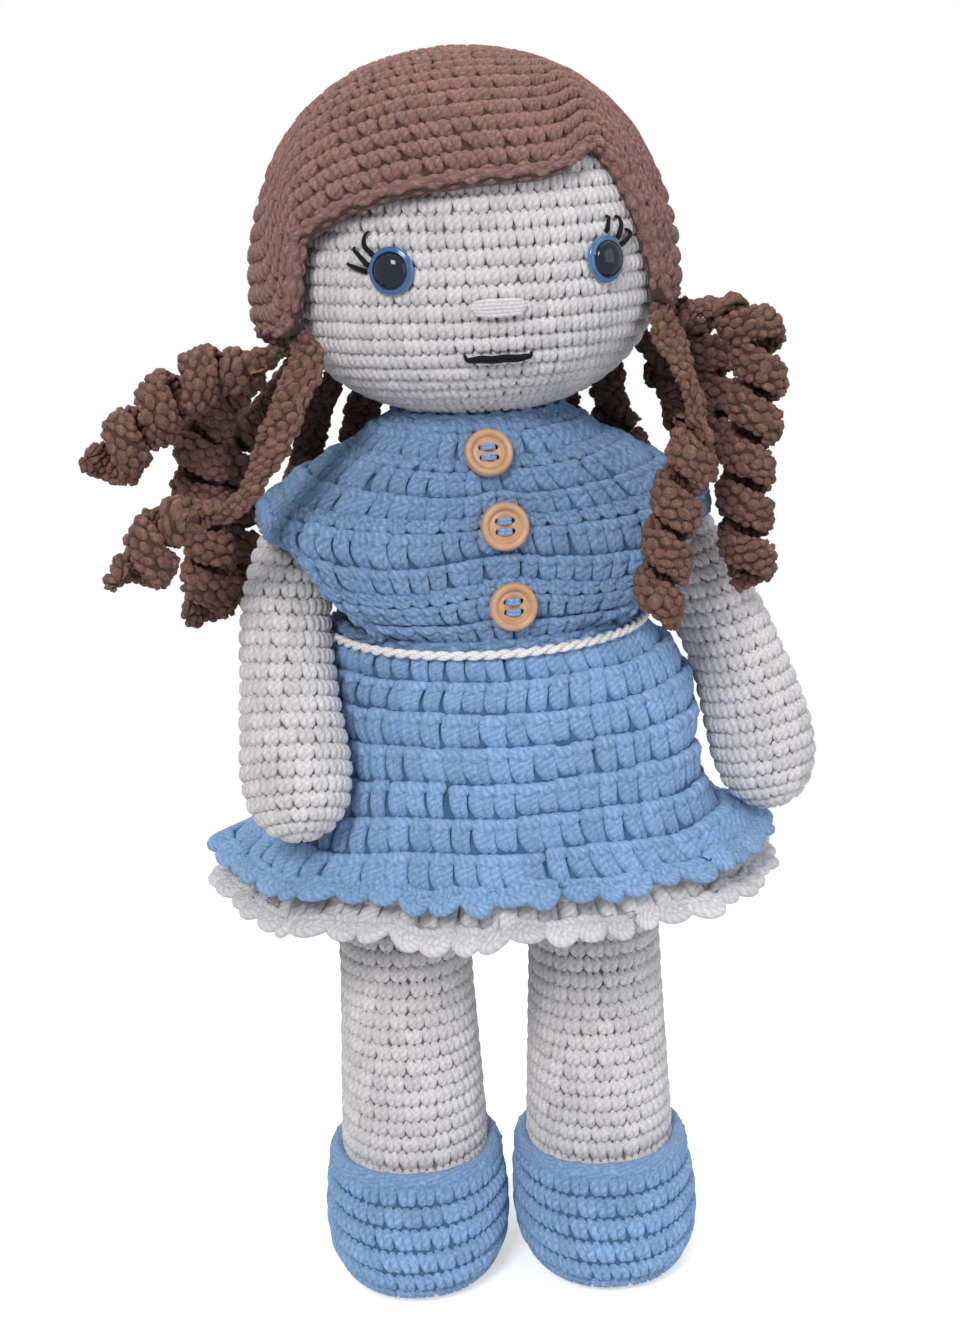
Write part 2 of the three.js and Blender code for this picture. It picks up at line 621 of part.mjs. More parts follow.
function insole(side) {
  const { halfWidth, front, back, z, thickness } = INSOLE;
  const rings = [z, z + thickness].map((level) => turnedRing(oval({ z: level, a: halfWidth,
    b: (back - front) / 2, x: side * LEG_X, y: (front + back) / 2, power: FOOT_POWER,
    count: LEG_SEGMENTS }), LOWER_TURN));
  return loft(rings);
}

function legFilling(side) {
  const bottom = INSOLE.z + INSOLE.thickness + GAP;
  const levels = [bottom, ...LEG_HOLLOW_Z.filter((z) => z > bottom + 1 && z < LEG_FILLING_TOP_Z),
    LEG_FILLING_TOP_Z];
  const filling = legSolid(side, SKIN + FILLING_GAP, levels);
  return geometryOf(filling.subtract(trunkSolid(FILLING_GAP, NECK_TOP_Z)));
}

function shoe(side) {
  const outer = SHOE.map(([z]) => footRing(SHOE, side, 0, z, SHOE_SEGMENTS));
  const levels = [SHOE_FLOOR_Z, ...LEG.map(([z]) => z).filter((z) => z > SHOE_FLOOR_Z + 1
    && z <= SHOE_HOLLOW_TOP_Z)];
  return geometryOf(solid(loft(outer)).subtract(legSolid(side, -FILLING_GAP, levels)));
}

// Dress

function bodiceRings(inset) {
  return BODICE.map(([z, a, b, power]) => oval({ z, a: a - inset, b: b - inset, power,
    count: BODICE_SEGMENTS }));
}

function armhole(side) {
  const { front, back, bottom, top, corner } = ARMHOLE;
  const outline = new THREE.Shape();
  outline.moveTo(front + corner, bottom);
  outline.lineTo(back - corner, bottom);
  outline.quadraticCurveTo(back, bottom, back, bottom + corner);
  outline.lineTo(back, top - corner);
  outline.quadraticCurveTo(back, top, back - corner, top);
  outline.lineTo(front + corner, top);
  outline.quadraticCurveTo(front, top, front, top - corner);
  outline.lineTo(front, bottom + corner);
  outline.quadraticCurveTo(front, bottom, front + corner, bottom);
  const hole = new THREE.ExtrudeGeometry(outline, { depth: 60, bevelEnabled: false,
    curveSegments: 3 });
  const turn = new THREE.Matrix4().makeBasis(new THREE.Vector3(0, 1, 0), AXIS_Z, AXIS_X);
  hole.applyMatrix4(turn).translate(side > 0 ? 30 : -90, 0, 0);
  return solid(hole);
}

function bodice() {
  const shell = solid(loft([...bodiceRings(0), ...bodiceRings(CLOTH).reverse()], true));
  return geometryOf(shell.subtract(armhole(-1)).subtract(armhole(1)));
}

function dent(t, z) {
  let depth = 0;
  const waist = smoothstep(SKIRT[0][0], DENT_START_Z, z);
  for (const d of SKIRT_DENTS) {
    let off = THREE.MathUtils.radToDeg(t) - d.toward;
    off = ((off + 540) % 360) - 180;
    depth += d.depth * Math.exp(-((off / d.spread) ** 2)) * Math.exp(-(((z - d.z) / d.rise) ** 2));
  }
  return depth * waist;
}

function skirtRing([z, a, b], inset) {
  const lift = HEM_SIDE_LIFT * smoothstep(PETTICOAT_FREE_Z, SKIRT[SKIRT.length - 1][0], z);
  const twist = LOWER_TURN * smoothstep(SKIRT[0][0], TWIST_END_Z, z);
  const fold = HEM_FOLD_DEPTH * smoothstep(FOLD_START_Z, SKIRT[SKIRT.length - 1][0], z);
  return turnedRing(Array.from({ length: SKIRT_SEGMENTS }, (_, k) => {
    const t = (2 * Math.PI * k) / SKIRT_SEGMENTS;
    const out = fold * Math.cos(HEM_FOLDS * t) - dent(t, z) - inset;
    const height = z + lift * Math.cos(t) ** 2;
    return new THREE.Vector3((a + out) * Math.cos(t), (b + out) * Math.sin(t), height);
  }), twist);
}

function skirtShell(rows, thickness) {
  const outer = rows.map((row) => skirtRing(row, 0));
  const inner = rows.map((row) => skirtRing(row, thickness)).reverse();
  return loft([...outer, ...inner], true);
}

function petticoat() {
  const under = SKIRT.filter(([z]) => z <= PETTICOAT_TOP_Z && z >= PETTICOAT_FREE_Z);
  const rows = under.map(([z, a, b]) => [z, a - PETTICOAT_INSET, b - PETTICOAT_INSET]);
  return skirtShell([...rows, ...PETTICOAT_FLARE], PETTICOAT_CLOTH);
}

function belt() {
  const rings = [];
  for (let i = 0; i < BELT_STEPS; i++) {
    const t = (2 * Math.PI * i) / BELT_STEPS;
    const [c, s] = [Math.cos(t), Math.sin(t)];
    const z = BELT_SIDE_Z - BELT_FRONT_DROP * Math.max(0, -s);
    rings.push(Array.from({ length: 6 }, (_, k) => {
      const r = (2 * Math.PI * k) / 6;
      const out = BELT_RADIUS * Math.cos(r);
      const height = z + BELT_RADIUS * Math.sin(r);
      return new THREE.Vector3((BELT_HALF_WIDTH + out) * c, (BELT_HALF_DEPTH + out) * s, height);
    }));
  }
  return loft(rings, true);
}

function buttonPlacement({ x, z, tilt }) {
  const angle = THREE.MathUtils.degToRad(tilt);
  const direction = new THREE.Vector3(0, -Math.cos(angle), Math.sin(angle));
  const depth = along(BODICE, z)[1];
  const point = new THREE.Vector3(x, -depth, z).addScaledVector(direction, BUTTON_STANDOFF);
  return placement(point, direction);
}

function button() {
  let disc = solid(turned(BUTTON_PROFILE, 18));
  for (const [sx, sy] of [[-1, -1], [1, -1], [1, 1], [-1, 1]]) {
    const hole = rod(BUTTON_HOLE.radius, 12, 6);
    hole.translate(sx * BUTTON_HOLE.x, sy * BUTTON_HOLE.y, 0);
    disc = disc.subtract(solid(hole));
  }
  return geometryOf(disc);
}

// Two bars of yarn over the button, whose legs go through the holes and meet behind it.
function buttonThread() {
  const top = BUTTON_PROFILE[BUTTON_PROFILE.length - 1][1] + GAP;
  const under = -GAP - 0.25;
  const box = (w, h, d, x, y, z) => solid(new THREE.BoxGeometry(w, h, d).translate(x, y, z));
  let yarn = box(2 * BUTTON_HOLE.x, 2 * BUTTON_HOLE.y, 0.3, 0, 0, under);
  for (const y of [-BUTTON_HOLE.y, BUTTON_HOLE.y]) {
    yarn = yarn.add(box(2 * BUTTON_HOLE.x + 0.7, YARN_BAR, YARN_BAR, 0, y, top + YARN_BAR / 2));
    for (const x of [-BUTTON_HOLE.x, BUTTON_HOLE.x]) {
      const middle = (top + 0.4 + under) / 2;
      yarn = yarn.add(box(0.6, 0.6, top + 0.4 - under, x, y, middle));
    }
  }
  return geometryOf(yarn);
}

// Curls

// The middle of the cap's rim at an azimuth.
function rimSpot(azimuth) {
  const t = THREE.MathUtils.degToRad(azimuth);
  const offset = CAP_LOOSE + CAP_THICKNESS / 2;
  const [a, b] = [HEAD_HALF_WIDTH + offset, HEAD_HALF_DEPTH + offset];
  return capSpot(new THREE.Vector3(a * Math.sin(t), -b * Math.cos(t), 0), offset, 1,
    CAP_FULLER_RIGHT / 2);
}

function curlRoute({ from, route }) {
  const root = rimSpot(from);
  root.z -= RIM_CLEARANCE + CORD_THICKNESS / 2;
  return new THREE.CatmullRomCurve3([root, ...route.map((p) => new THREE.Vector3(...p))]);
}

// The middle of the cord, its run and its thin direction at each step, for a given fineness.
function curlSteps(curl, steps, strapStep) {
  const line = curlRoute(curl);
  line.arcLengthDivisions = 400;
  const length = line.getLength();
  const turns = (length - curl.straight) / CURL_PITCH;
  const strap = Math.abs(curl.from) > BACK_ANGLE ? BACK_STRAP_WIDTH : STRAP_WIDTH;
  const places = [0, 1.4];
  const straps = Math.max(1, Math.round((curl.straight - 3) / strapStep));
  for (let i = 0; i < straps; i++) places.push(3 + ((curl.straight - 3) * i) / straps);
  const winds = Math.round(turns * steps);
  for (let i = 0; i < winds; i++) places.push(curl.straight + ((length - curl.straight) * i) / winds);
  places.push(length);
  let outward = new THREE.Vector3(line.points[0].x, line.points[0].y, 0).normalize();
  const axis = places.map((s) => {
    const at = Math.min(1, s / length);
    const run = line.getTangentAt(at);
    outward = outward.clone().addScaledVector(run, -outward.dot(run)).normalize();
    const turn = Math.max(0, s - curl.straight) / CURL_PITCH;
    const across = new THREE.Vector3().crossVectors(run, outward);
    const angle = -2 * Math.PI * turn;
    const thin = outward.clone().multiplyScalar(Math.cos(angle)).addScaledVector(across,
      Math.sin(angle));
    const wound = smoothstep(0, CURL_RAMP_TURNS, turn);
    const point = line.getPointAt(at).addScaledVector(thin, curl.radius * wound);
    return { point, thin, width: strap + (CORD_WIDTH - strap) * wound };
  });
  return axis.map((step, i) => {
    const before = axis[Math.max(0, i - 1)].point;
    const after = axis[Math.min(axis.length - 1, i + 1)].point;
    const run = after.clone().sub(before).normalize();
    const thin = step.thin.clone().addScaledVector(run, -step.thin.dot(run)).normalize();
    const wide = new THREE.Vector3().crossVectors(run, thin).multiplyScalar(step.width);
    return { point: step.point, thin, wide };
  });
}

function cordRings(steps, sides) {
  return steps.map(({ point, thin, wide }, i) => {
    const fromEnd = Math.min(i, steps.length - 1 - i);
    const scale = fromEnd === 0 ? 0.5 : 1;
    return Array.from({ length: sides }, (_, k) => {
      const t = (2 * Math.PI * k) / sides;
      return point.clone()
        .addScaledVector(thin, (scale * CORD_THICKNESS * Math.cos(t)) / 2)
        .addScaledVector(wide, (scale * Math.sin(t)) / 2);
    });
  });
}

// The least distance between the surfaces of turns that lie at least half a turn apart.
function leastGap(curl) {
  const fineness = 24;
  const rings = cordRings(curlSteps(curl, fineness, STRAP_STEP), 12);
  let least = Infinity;
  for (let i = 0; i < rings.length; i++) {
    for (let j = i + fineness * 0.6; j < rings.length; j++) {
      const other = rings[Math.floor(j)];
      for (const p of rings[i]) {
        for (const q of other) least = Math.min(least, p.distanceTo(q));
      }
    }
  }
  return least;
}

function reportGaps() {
  const gaps = CURLS.map(leastGap);
  console.log("least gap of a curl to itself: " + Math.min(...gaps).toFixed(2) + " mm");
}

// Assembly

function material(colour, roughness = 0.9, metalness = 0) {
  return new THREE.MeshStandardMaterial({ color: COLOURS[colour], roughness, metalness });
}

function add(group, name, geometry, colour, roughness) {
  const mesh = new THREE.Mesh(geometry, material(colour, roughness));
  mesh.name = name;
  group.add(mesh);
  return mesh;
}

function addPlaced(group, name, geometry, matrix, colour, roughness) {
  const mesh = add(group, name, geometry, colour, roughness);
  matrix.decompose(mesh.position, mesh.quaternion, mesh.scale);
  return mesh;
}

function addHead(doll) {
  const head = new THREE.Group();
  add(head, "head_skin", headSkin(), "cream");
  add(head, "head_filling", headFilling(), "stuffing");
  add(head, "wig_cap", wigCap(), "hair");
  add(head, "nose_stitches", nose(), "cream");
  add(head, "mouth_stitch", faceThread(MOUTH_HALF_WIDTH, MOUTH_Z, MOUTH_DROOP, 0),
    "thread");
  for (const [side, name] of [[-1, "right"], [1, "left"]]) {
    addPlaced(head, name + "_eye", eye(), eyePlacement(side), "eye", 0.1);
    addPlaced(head, name + "_eye_washer", eyeWasher(), eyePlacement(side), "plastic", 0.4);
  }
  doll.add(head);
}

function addTrunkAndLimbs(doll) {
  add(doll, "body_skin", trunkSkin(), "cream");
  add(doll, "body_filling", trunkFilling(), "stuffing");
  add(doll, "shoulder_thread", shoulderThread(), "cream");
  const lines = { right: RIGHT_ARM_LINE, left: LEFT_ARM_LINE };
  for (const [side, name] of [[-1, "right"], [1, "left"]]) {
    add(doll, name + "_arm_skin", armSkin(lines[name]), "cream");
    add(doll, name + "_arm_filling", armFilling(lines[name]), "stuffing");
    add(doll, name + "_leg_skin", legSkin(side), "cream");
    add(doll, name + "_leg_filling", legFilling(side), "stuffing");
    add(doll, name + "_insole", insole(side), "board");
    add(doll, name + "_shoe", shoe(side), "blue");
  }
}

function addDress(doll) {
  add(doll, "bodice", bodice(), "blue");
  add(doll, "skirt", skirtShell(SKIRT, CLOTH), "blue");
  add(doll, "petticoat", petticoat(), "cream");
  add(doll, "belt_cord", belt(), "belt");
  for (const spot of BUTTONS) {
    const matrix = buttonPlacement(spot);
    addPlaced(doll, spot.name + "_button", button(), matrix, "wood", 0.5);
    addPlaced(doll, spot.name + "_button_thread", buttonThread(), matrix, "blue");
  }
}

function addCurls(doll) {
  const hair = new THREE.Group();
  for (const curl of CURLS) {
    const rings = cordRings(curlSteps(curl, CURL_STEPS, STRAP_STEP), CURL_SIDES);
    add(hair, curl.name, loft(rings), "hair");
  }
  doll.add(hair);
}

const doll = new THREE.Group();
doll.position.set(...FRAME_SHIFT);
addHead(doll);
addTrunkAndLimbs(doll);
addDress(doll);
addCurls(doll);
reportGaps();

const root = new THREE.Group();
root.add(doll);

export default root;
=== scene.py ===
import bpy
import math
import numpy as np
from collections import namedtuple
from mathutils import Matrix, Vector


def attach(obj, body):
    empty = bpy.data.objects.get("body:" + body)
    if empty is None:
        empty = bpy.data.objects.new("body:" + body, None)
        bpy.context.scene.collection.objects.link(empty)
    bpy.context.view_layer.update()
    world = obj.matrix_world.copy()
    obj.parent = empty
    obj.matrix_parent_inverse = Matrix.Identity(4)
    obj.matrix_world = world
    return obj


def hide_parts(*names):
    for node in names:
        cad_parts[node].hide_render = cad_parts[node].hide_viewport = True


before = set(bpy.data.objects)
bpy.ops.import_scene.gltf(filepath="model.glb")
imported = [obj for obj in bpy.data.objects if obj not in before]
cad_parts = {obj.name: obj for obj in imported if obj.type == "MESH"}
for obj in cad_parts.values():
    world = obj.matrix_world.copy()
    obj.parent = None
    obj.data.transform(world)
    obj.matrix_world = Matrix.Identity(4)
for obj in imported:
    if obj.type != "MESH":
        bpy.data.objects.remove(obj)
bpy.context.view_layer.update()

# Lengths are millimetres in the doll's own frame, which this shift takes to the solids' frame.
# The doll faces -Y, its right side is at -X, and it stands on Z = 0.
FRAME_SHIFT = np.array([7.2, -0.1, 0.0])
METRE = 1000


# Camera, light and floor

CAMERA_TURN, CAMERA_PITCH, CAMERA_ROLL = (math.radians(v) for v in (-9.5, 15, 2.4))
CAMERA_AWAY, CAMERA_HEIGHT, CAMERA_ASIDE = 600, 333, -2.4
CAMERA_LENS = 58.93
# name, place and target in metres, side of the square, power, colour
LAMPS = [("key", (-0.55, -1.05, 1.05), (0, 0, 0.2), 0.42, 12.0, (1.0, 0.985, 0.965)),
         ("fill", (1.1, -0.85, 0.55), (0, 0, 0.18), 1.0, 5.0, (0.95, 0.97, 1.0)),
         ("top", (0.1, 0.25, 1.3), (0, 0, 0.2), 1.2, 6.0, (1, 1, 1)),
         ("back", (0.35, 1.5, 0.7), (0, 0, 0.18), 1.2, 7.0, (1, 1, 1))]
FLOOR_HALF = 4


def add_object(name, data):
    item = bpy.data.objects.new(name, data)
    bpy.context.scene.collection.objects.link(item)
    return item


def add_camera():
    """The photo's view, from a little to the doll's right and above."""
    right = np.array([math.cos(CAMERA_TURN), math.sin(CAMERA_TURN), 0])
    back = np.array([right[1], -right[0], 0])
    forward = np.array([0, 0, -math.sin(CAMERA_PITCH)]) - back * math.cos(CAMERA_PITCH)
    up = np.cross(right, forward)
    c, s = math.cos(CAMERA_ROLL), math.sin(CAMERA_ROLL)
    place = back * CAMERA_AWAY + right * CAMERA_ASIDE + [0, 0, CAMERA_HEIGHT] + FRAME_SHIFT
    matrix = np.eye(4)
    matrix[:3] = np.stack([right * c - up * s, right * s + up * c, -forward, place / METRE], 1)
    data = bpy.data.cameras.new("camera")
    data.lens, data.sensor_width = CAMERA_LENS, 36
    data.clip_start, data.clip_end = 0.01, 20
    camera = add_object("camera", data)
    camera.matrix_world = Matrix(matrix.tolist())
    bpy.context.scene.camera = camera


def add_lamps():
    for name, place, target, size, power, colour in LAMPS:
        data = bpy.data.lights.new(name, "AREA")
        data.shape, data.size, data.size_y = "RECTANGLE", size, size
        data.energy, data.color = power, colour
        lamp = add_object(name, data)
        lamp.location = place
        lamp.rotation_euler = (Vector(target) - Vector(place)).to_track_quat("-Z", "Y").to_euler()


def node_maker(owner):
    """A function that adds a node to a material or world, with its inputs set or linked."""
    owner.use_nodes = True
    tree = owner.node_tree
    tree.nodes.clear()

    def make(kind, inputs=(), **settings):
        node = tree.nodes.new("ShaderNode" + kind)
        for name, value in settings.items():
            setattr(node, name, value)
        for key, value in dict(inputs).items():
            if isinstance(value, bpy.types.NodeSocket):
                tree.links.new(value, node.inputs[key])
            else:
                node.inputs[key].default_value = value
        return node
    return make


def maths(make, operation, *values, **settings):
    return make("Math", dict(enumerate(values)), operation=operation, **settings).outputs[0]


def add_world():
    """Soft light from all round, and plain white wherever the camera looks past the doll."""
    world = bpy.data.worlds.new("studio")
    bpy.context.scene.world = world
    make = node_maker(world)
    ray = make("LightPath").outputs
    seen = maths(make, "MAXIMUM", ray["Is Camera Ray"], ray["Is Glossy Ray"])
    seen = maths(make, "MAXIMUM", seen, ray["Is Transmission Ray"])
    soft = make("Background", {"Color": (0.93, 0.96, 1.0, 1), "Strength": 0.42}).outputs[0]
    white = make("Background", {"Color": (1, 1, 1, 1), "Strength": 1.0}).outputs[0]
    make("OutputWorld", {"Surface": make("MixShader", {0: seen, 1: soft, 2: white}).outputs[0]})


def add_floor():
    """A pale floor that keeps the shadow and fades into the white round the doll."""
    mesh = bpy.data.meshes.new("floor")
    corners = [(x * FLOOR_HALF, y * FLOOR_HALF, 0) for x, y in ((-1, -1), (1, -1), (1, 1), (-1, 1))]
    mesh.from_pydata(corners, [], [(0, 1, 2, 3)])
    floor = add_object("floor", mesh)
    material = bpy.data.materials.new("floor")
    make = node_maker(material)
    camera = make("LightPath").outputs["Is Camera Ray"]
    pale = make("BsdfDiffuse", {"Color": (0.92, 0.92, 0.92, 1)}).outputs[0]
    glow = make("Emission", {"Strength": maths(make, "MULTIPLY", camera, 0.5)}).outputs[0]
    lit = make("AddShader", {0: pale, 1: glow}).outputs[0]
    away = make("VectorMath", {0: make("TexCoord").outputs["Object"]}, operation="LENGTH")
    fade = make("MapRange", {"Value": away.outputs["Value"], "From Min": 0.16, "From Max": 0.42},
                interpolation_type="SMOOTHSTEP").outputs[0]
    clear = make("BsdfTransparent").outputs[0]
    make("OutputMaterial", {"Surface": make("MixShader", {0: fade, 1: lit, 2: clear}).outputs[0]})
    mesh.materials.append(material)


# Looks. Each is a material and the name of a colour slot.

Look = namedtuple("Look", "material slot")
CREAM = (0.76, 0.733, 0.745)
BROWN = (0.372, 0.203, 0.174)
# The curls' brown is the hair yarn darkened: painted shade for curls that hang in shadow.
CURL_SHADED_BROWN = (0.255, 0.134, 0.10)
BLUE = (0.308, 0.498, 0.83)
WHITE = (0.88, 0.85, 0.82)
BLACK = (0.008, 0.008, 0.010)
TAN = (0.575, 0.325, 0.185)


def dimmed(colour, share):
    return tuple(share * c for c in colour)


def noise(make, place, scale, detail=2.0):
    return make("TexNoise", {"Vector": place, "Scale": scale, "Detail": detail}).outputs[0]


def crisp(make, value):
    """A noise with its middle stretched over the whole range."""
    return maths(make, "MULTIPLY_ADD", value, 2.6, -0.8, use_clamp=True)


def shaded(make, *factors):
    """The product of factors (value, amount, base), each value times its amount plus its base."""
    shade = maths(make, "MULTIPLY_ADD", *factors[0])
    for factor in factors[1:]:
        shade = maths(make, "MULTIPLY", shade, maths(make, "MULTIPLY_ADD", *factor))
    return shade


def finished(make, material, slot, colour, shade, bump, inputs):
    """The look of a colour under a shade, with lumps from bump (strength, distance, height)."""
    tint = make("VectorMath", {0: colour, "Scale": shade}, operation="SCALE").outputs[0]
    lumps = make("Bump", dict(zip(("Strength", "Distance", "Height"), bump))).outputs[0]
    shader = make("BsdfPrincipled", {"Base Color": tint, "Normal": lumps, **inputs})
    make("OutputMaterial", {"Surface": shader.outputs[0]})
    return Look(material, slot)


def started(name):
    material = bpy.data.materials.new(name)
    make = node_maker(material)
    return material, make, make("TexCoord").outputs["Object"]


def yarn_marks(make):
    """The attribute yarn, which each mesh carries as its third array: the distance along the yarn in
    mm, the turn round it from 0 to 1, and a number for each stitch."""
    held = make("Attribute", attribute_name="yarn").outputs["Vector"]
    return make("SeparateXYZ", {0: held}).outputs


def yarn_look(name, slot, colour, ply=1.5, twist=3.0, bump=0.7, fuzz=0.3, mottle=0.5, twisted=0.7,
              fluff=0.6, lump=1300.0):
    """Spun yarn: plies that wind round it, fibres along them and fluffy grain."""
    material, make, place = started(name)
    run, turn, each = yarn_marks(make)
    spiral = maths(make, "ADD", maths(make, "DIVIDE", run, ply), maths(make, "MULTIPLY", turn, twist))
    wave = maths(make, "SINE", maths(make, "MULTIPLY", spiral, 2 * math.pi))
    wave = maths(make, "POWER", maths(make, "MULTIPLY_ADD", wave, 0.5, 0.5), 0.6)
    fibre_place = make("CombineXYZ", {0: maths(make, "MULTIPLY", run, 0.7),
                                      1: maths(make, "MULTIPLY", maths(make, "ADD", turn, wave), 11.0),
                                      2: maths(make, "MULTIPLY", each, 53.0)}).outputs[0]
    fibre = crisp(make, noise(make, fibre_place, 1.6, 3.0))
    grain = crisp(make, noise(make, place, lump, 3.0))
    tone, even = 0.18, 1 - mottle / 2
    # The wave factor darkens the grooves between the plies: painted shade. The other factors are random tone
    # and mottle.
    shade = shaded(make, (each, tone, 1 - tone / 2), (wave, 0.2, 0.88), (fibre, mottle, even),
                   (grain, mottle, even), (noise(make, place, 38.0), 0.16, 0.92))
    height = maths(make, "ADD", maths(make, "MULTIPLY", wave, twisted), maths(make, "MULTIPLY", fibre, 0.6))
    height = maths(make, "ADD", height, maths(make, "MULTIPLY", grain, fluff))
    halo = (*(min(1, c * 1.6 + 0.1) for c in colour), 1)
    return finished(make, material, slot, colour, shade, (bump, 0.0007, height),
                    {"Roughness": maths(make, "MULTIPLY_ADD", fibre, 0.14, 0.78), "Sheen Weight": fuzz,
                     "Sheen Roughness": 0.45, "Sheen Tint": halo, "Specular IOR Level": 0.25})


def backing_painted_shade_look(name, slot, colour):
    """The inside of crocheted cloth: rows of small knots, darker than the stitches over them, painted shade for
    the gaps between stitches.
    """
    material, make, place = started(name)
    row, turn, _ = yarn_marks(make)
    up, side = (maths(make, "SINE", maths(make, "MULTIPLY", v, 2 * math.pi)) for v in (row, turn))
    knots = maths(make, "MULTIPLY_ADD", maths(make, "MULTIPLY", up, side), 0.25, 0.5)
    knots = maths(make, "MULTIPLY_ADD", up, 0.25, knots)
    grain = noise(make, place, 1400.0, 3.0)
    height = maths(make, "ADD", knots, maths(make, "MULTIPLY", grain, 0.3))
    # the knots are darker between their bumps: painted shade
    return finished(make, material, slot, colour, shaded(make, (knots, 0.5, 0.65), (grain, 0.4, 0.8)),
                    (0.8, 0.0009, height), {"Roughness": 0.92, "Sheen Weight": 0.1})


def wood_look(name, slot, colour):
    material, make, place = started(name)
    grain = make("Mapping", {"Vector": place, "Scale": (1.0, 1.0, 9.0)}).outputs[0]
    rings = make("TexWave", {"Vector": grain, "Scale": 42.0, "Distortion": 5.0, "Detail": 3.0,
                             "Detail Scale": 2.0}).outputs[1]
    pores = noise(make, grain, 1500.0)
    return finished(make, material, slot, colour, shaded(make, (rings, 0.13, 0.92), (pores, 0.14, 0.93)),
                    (0.12, 0.0002, pores), {"Roughness": 0.42, "Coat Weight": 0.12, "Coat Roughness": 0.35})


def plastic_look(name, slot, colour, rough=0.06, coat=0.6, gloss=0.5):
    material, make, place = started(name)
    wear = noise(make, place, 900.0)
    return finished(make, material, slot, colour, shaded(make, (noise(make, place, 300.0), 0.16, 0.92)),
                    (0.03, 0.0001, wear), {"Roughness": maths(make, "MULTIPLY_ADD", wear, 0.05, rough),
                                           "Coat Weight": coat, "Coat Roughness": 0.03,
                                           "Specular IOR Level": gloss})


add_camera()
add_world()
add_lamps()
add_floor()
CREAM_YARN = yarn_look("cream_yarn_look", "cream_yarn", CREAM, bump=0.45, mottle=0.14, twisted=0.5)
BROWN_YARN = yarn_look("brown_yarn_look", "brown_yarn", BROWN, ply=1.3, bump=0.72, fuzz=0.35,
                       mottle=0.45, twisted=0.8, fluff=0.9)
# The curls wear the hair yarn in its darker brown, painted shade.
CURL_SHADED_YARN = yarn_look("curl_yarn_painted_shade_look", "brown_yarn", CURL_SHADED_BROWN, ply=1.3, twist=2.0, bump=0.75,
                      twisted=0.9, fluff=0.9)
BLUE_YARN = yarn_look("blue_yarn_look", "blue_yarn", BLUE, bump=0.62, mottle=0.34, twisted=0.25,
                      fluff=1.1, lump=1000.0)
# The bodice wears the blue yarn dimmed to 0.88: painted shade, as if the head shadows it.
BODICE_SHADED_YARN = yarn_look("bodice_yarn_painted_shade_look", "blue_yarn", dimmed(BLUE, 0.88), mottle=0.34, twisted=0.25,
                        fluff=1.1, lump=1000.0)
WHITE_YARN = yarn_look("white_cord_look", "white_cord", WHITE, ply=1.2, bump=0.25, mottle=0.1)
BLACK_THREAD = yarn_look("black_thread_look", "black_thread", BLACK, ply=0.9, fuzz=0.15)
# The backings wear the yarn colours darkened: painted shade that shows in the gaps between stitches.
CREAM_BACK_SHADE = backing_painted_shade_look("cream_backing_painted_shade_look", "cream_yarn", dimmed(CREAM, 0.25))
BROWN_BACK_SHADE = backing_painted_shade_look("brown_backing_painted_shade_look", "brown_yarn", (0.075, 0.034, 0.026))
BLUE_BACK_SHADE = backing_painted_shade_look("blue_backing_painted_shade_look", "blue_yarn", (0.06, 0.135, 0.27))
LINING_BACK_SHADE = backing_painted_shade_look("petticoat_backing_painted_shade_look", "cream_yarn", dimmed(CREAM, 0.55))
WOOD = wood_look("button_wood_look", "button_wood", TAN)
EYE_RIM = plastic_look("eye_rim_look", "eye_plastic", (0.018, 0.11, 0.30), coat=0.3)
EYE_EDGE = plastic_look("eye_edge_look", "eye_plastic", (0.06, 0.19, 0.38))
EYE_DARK = plastic_look("eye_dark_look", "eye_plastic", (0.006, 0.011, 0.026), rough=0.03, coat=0.0,
                        gloss=0.3)
WASHER_LOOK = plastic_look("washer_look", "washer_plastic", (0.75, 0.75, 0.72), rough=0.4, coat=0.0)


# Curves and tables

def smooth(a, b, value):
    """0 below a, 1 above b and an easy step between them."""
    t = np.clip((np.asarray(value, float) - a) / (b - a), 0, 1)
    return t * t * (3 - 2 * t)


def along(rows, keys):
    """The columns of a table of rows [key, ...values], smooth between the rows."""
    rows = np.array(sorted(rows), float)
    keys = np.atleast_1d(np.asarray(keys, float))[:, None]
    last = len(rows) - 1
    i = np.clip(np.searchsorted(rows[:, 0], keys[:, 0]) - 1, 0, last - 1)
    before, start, end, after = (rows[np.clip(i + k, 0, last)] for k in (-1, 0, 1, 2))
    span = end[:, :1] - start[:, :1]
    t = np.clip((keys - start[:, :1]) / span, 0, 1)
    v, e = start[:, 1:], end[:, 1:]
    m0 = (e - before[:, 1:]) / (end[:, :1] - before[:, :1]) * span
    m1 = (after[:, 1:] - v) / (after[:, :1] - start[:, :1]) * span
    t2, t3 = t * t, t * t * t
    return (2 * t3 - 3 * t2 + 1) * v + (t3 - 2 * t2 + t) * m0 + (3 * t2 - 2 * t3) * e + (t3 - t2) * m1


def turns(count):
    """Angles spread evenly round a circle."""
    return np.linspace(0, 2 * np.pi, count + 1)[:-1]


def turned(points, degrees):
    """Points turned about Z."""
    c, s = np.cos(np.radians(degrees)), np.sin(np.radians(degrees))
    x, y, z = np.moveaxis(points, -1, 0)
    return np.stack([x * c - y * s, x * s + y * c, z], -1)


def spokes(t):
    """Level directions at angles t."""
    return np.stack([np.cos(t), np.sin(t), 0 * t], -1)


def power_of(value, power):
    return np.sign(value) * np.abs(value) ** power


def unit(v):
    return v / np.maximum(np.linalg.norm(v, axis=-1, keepdims=True), 1e-9)


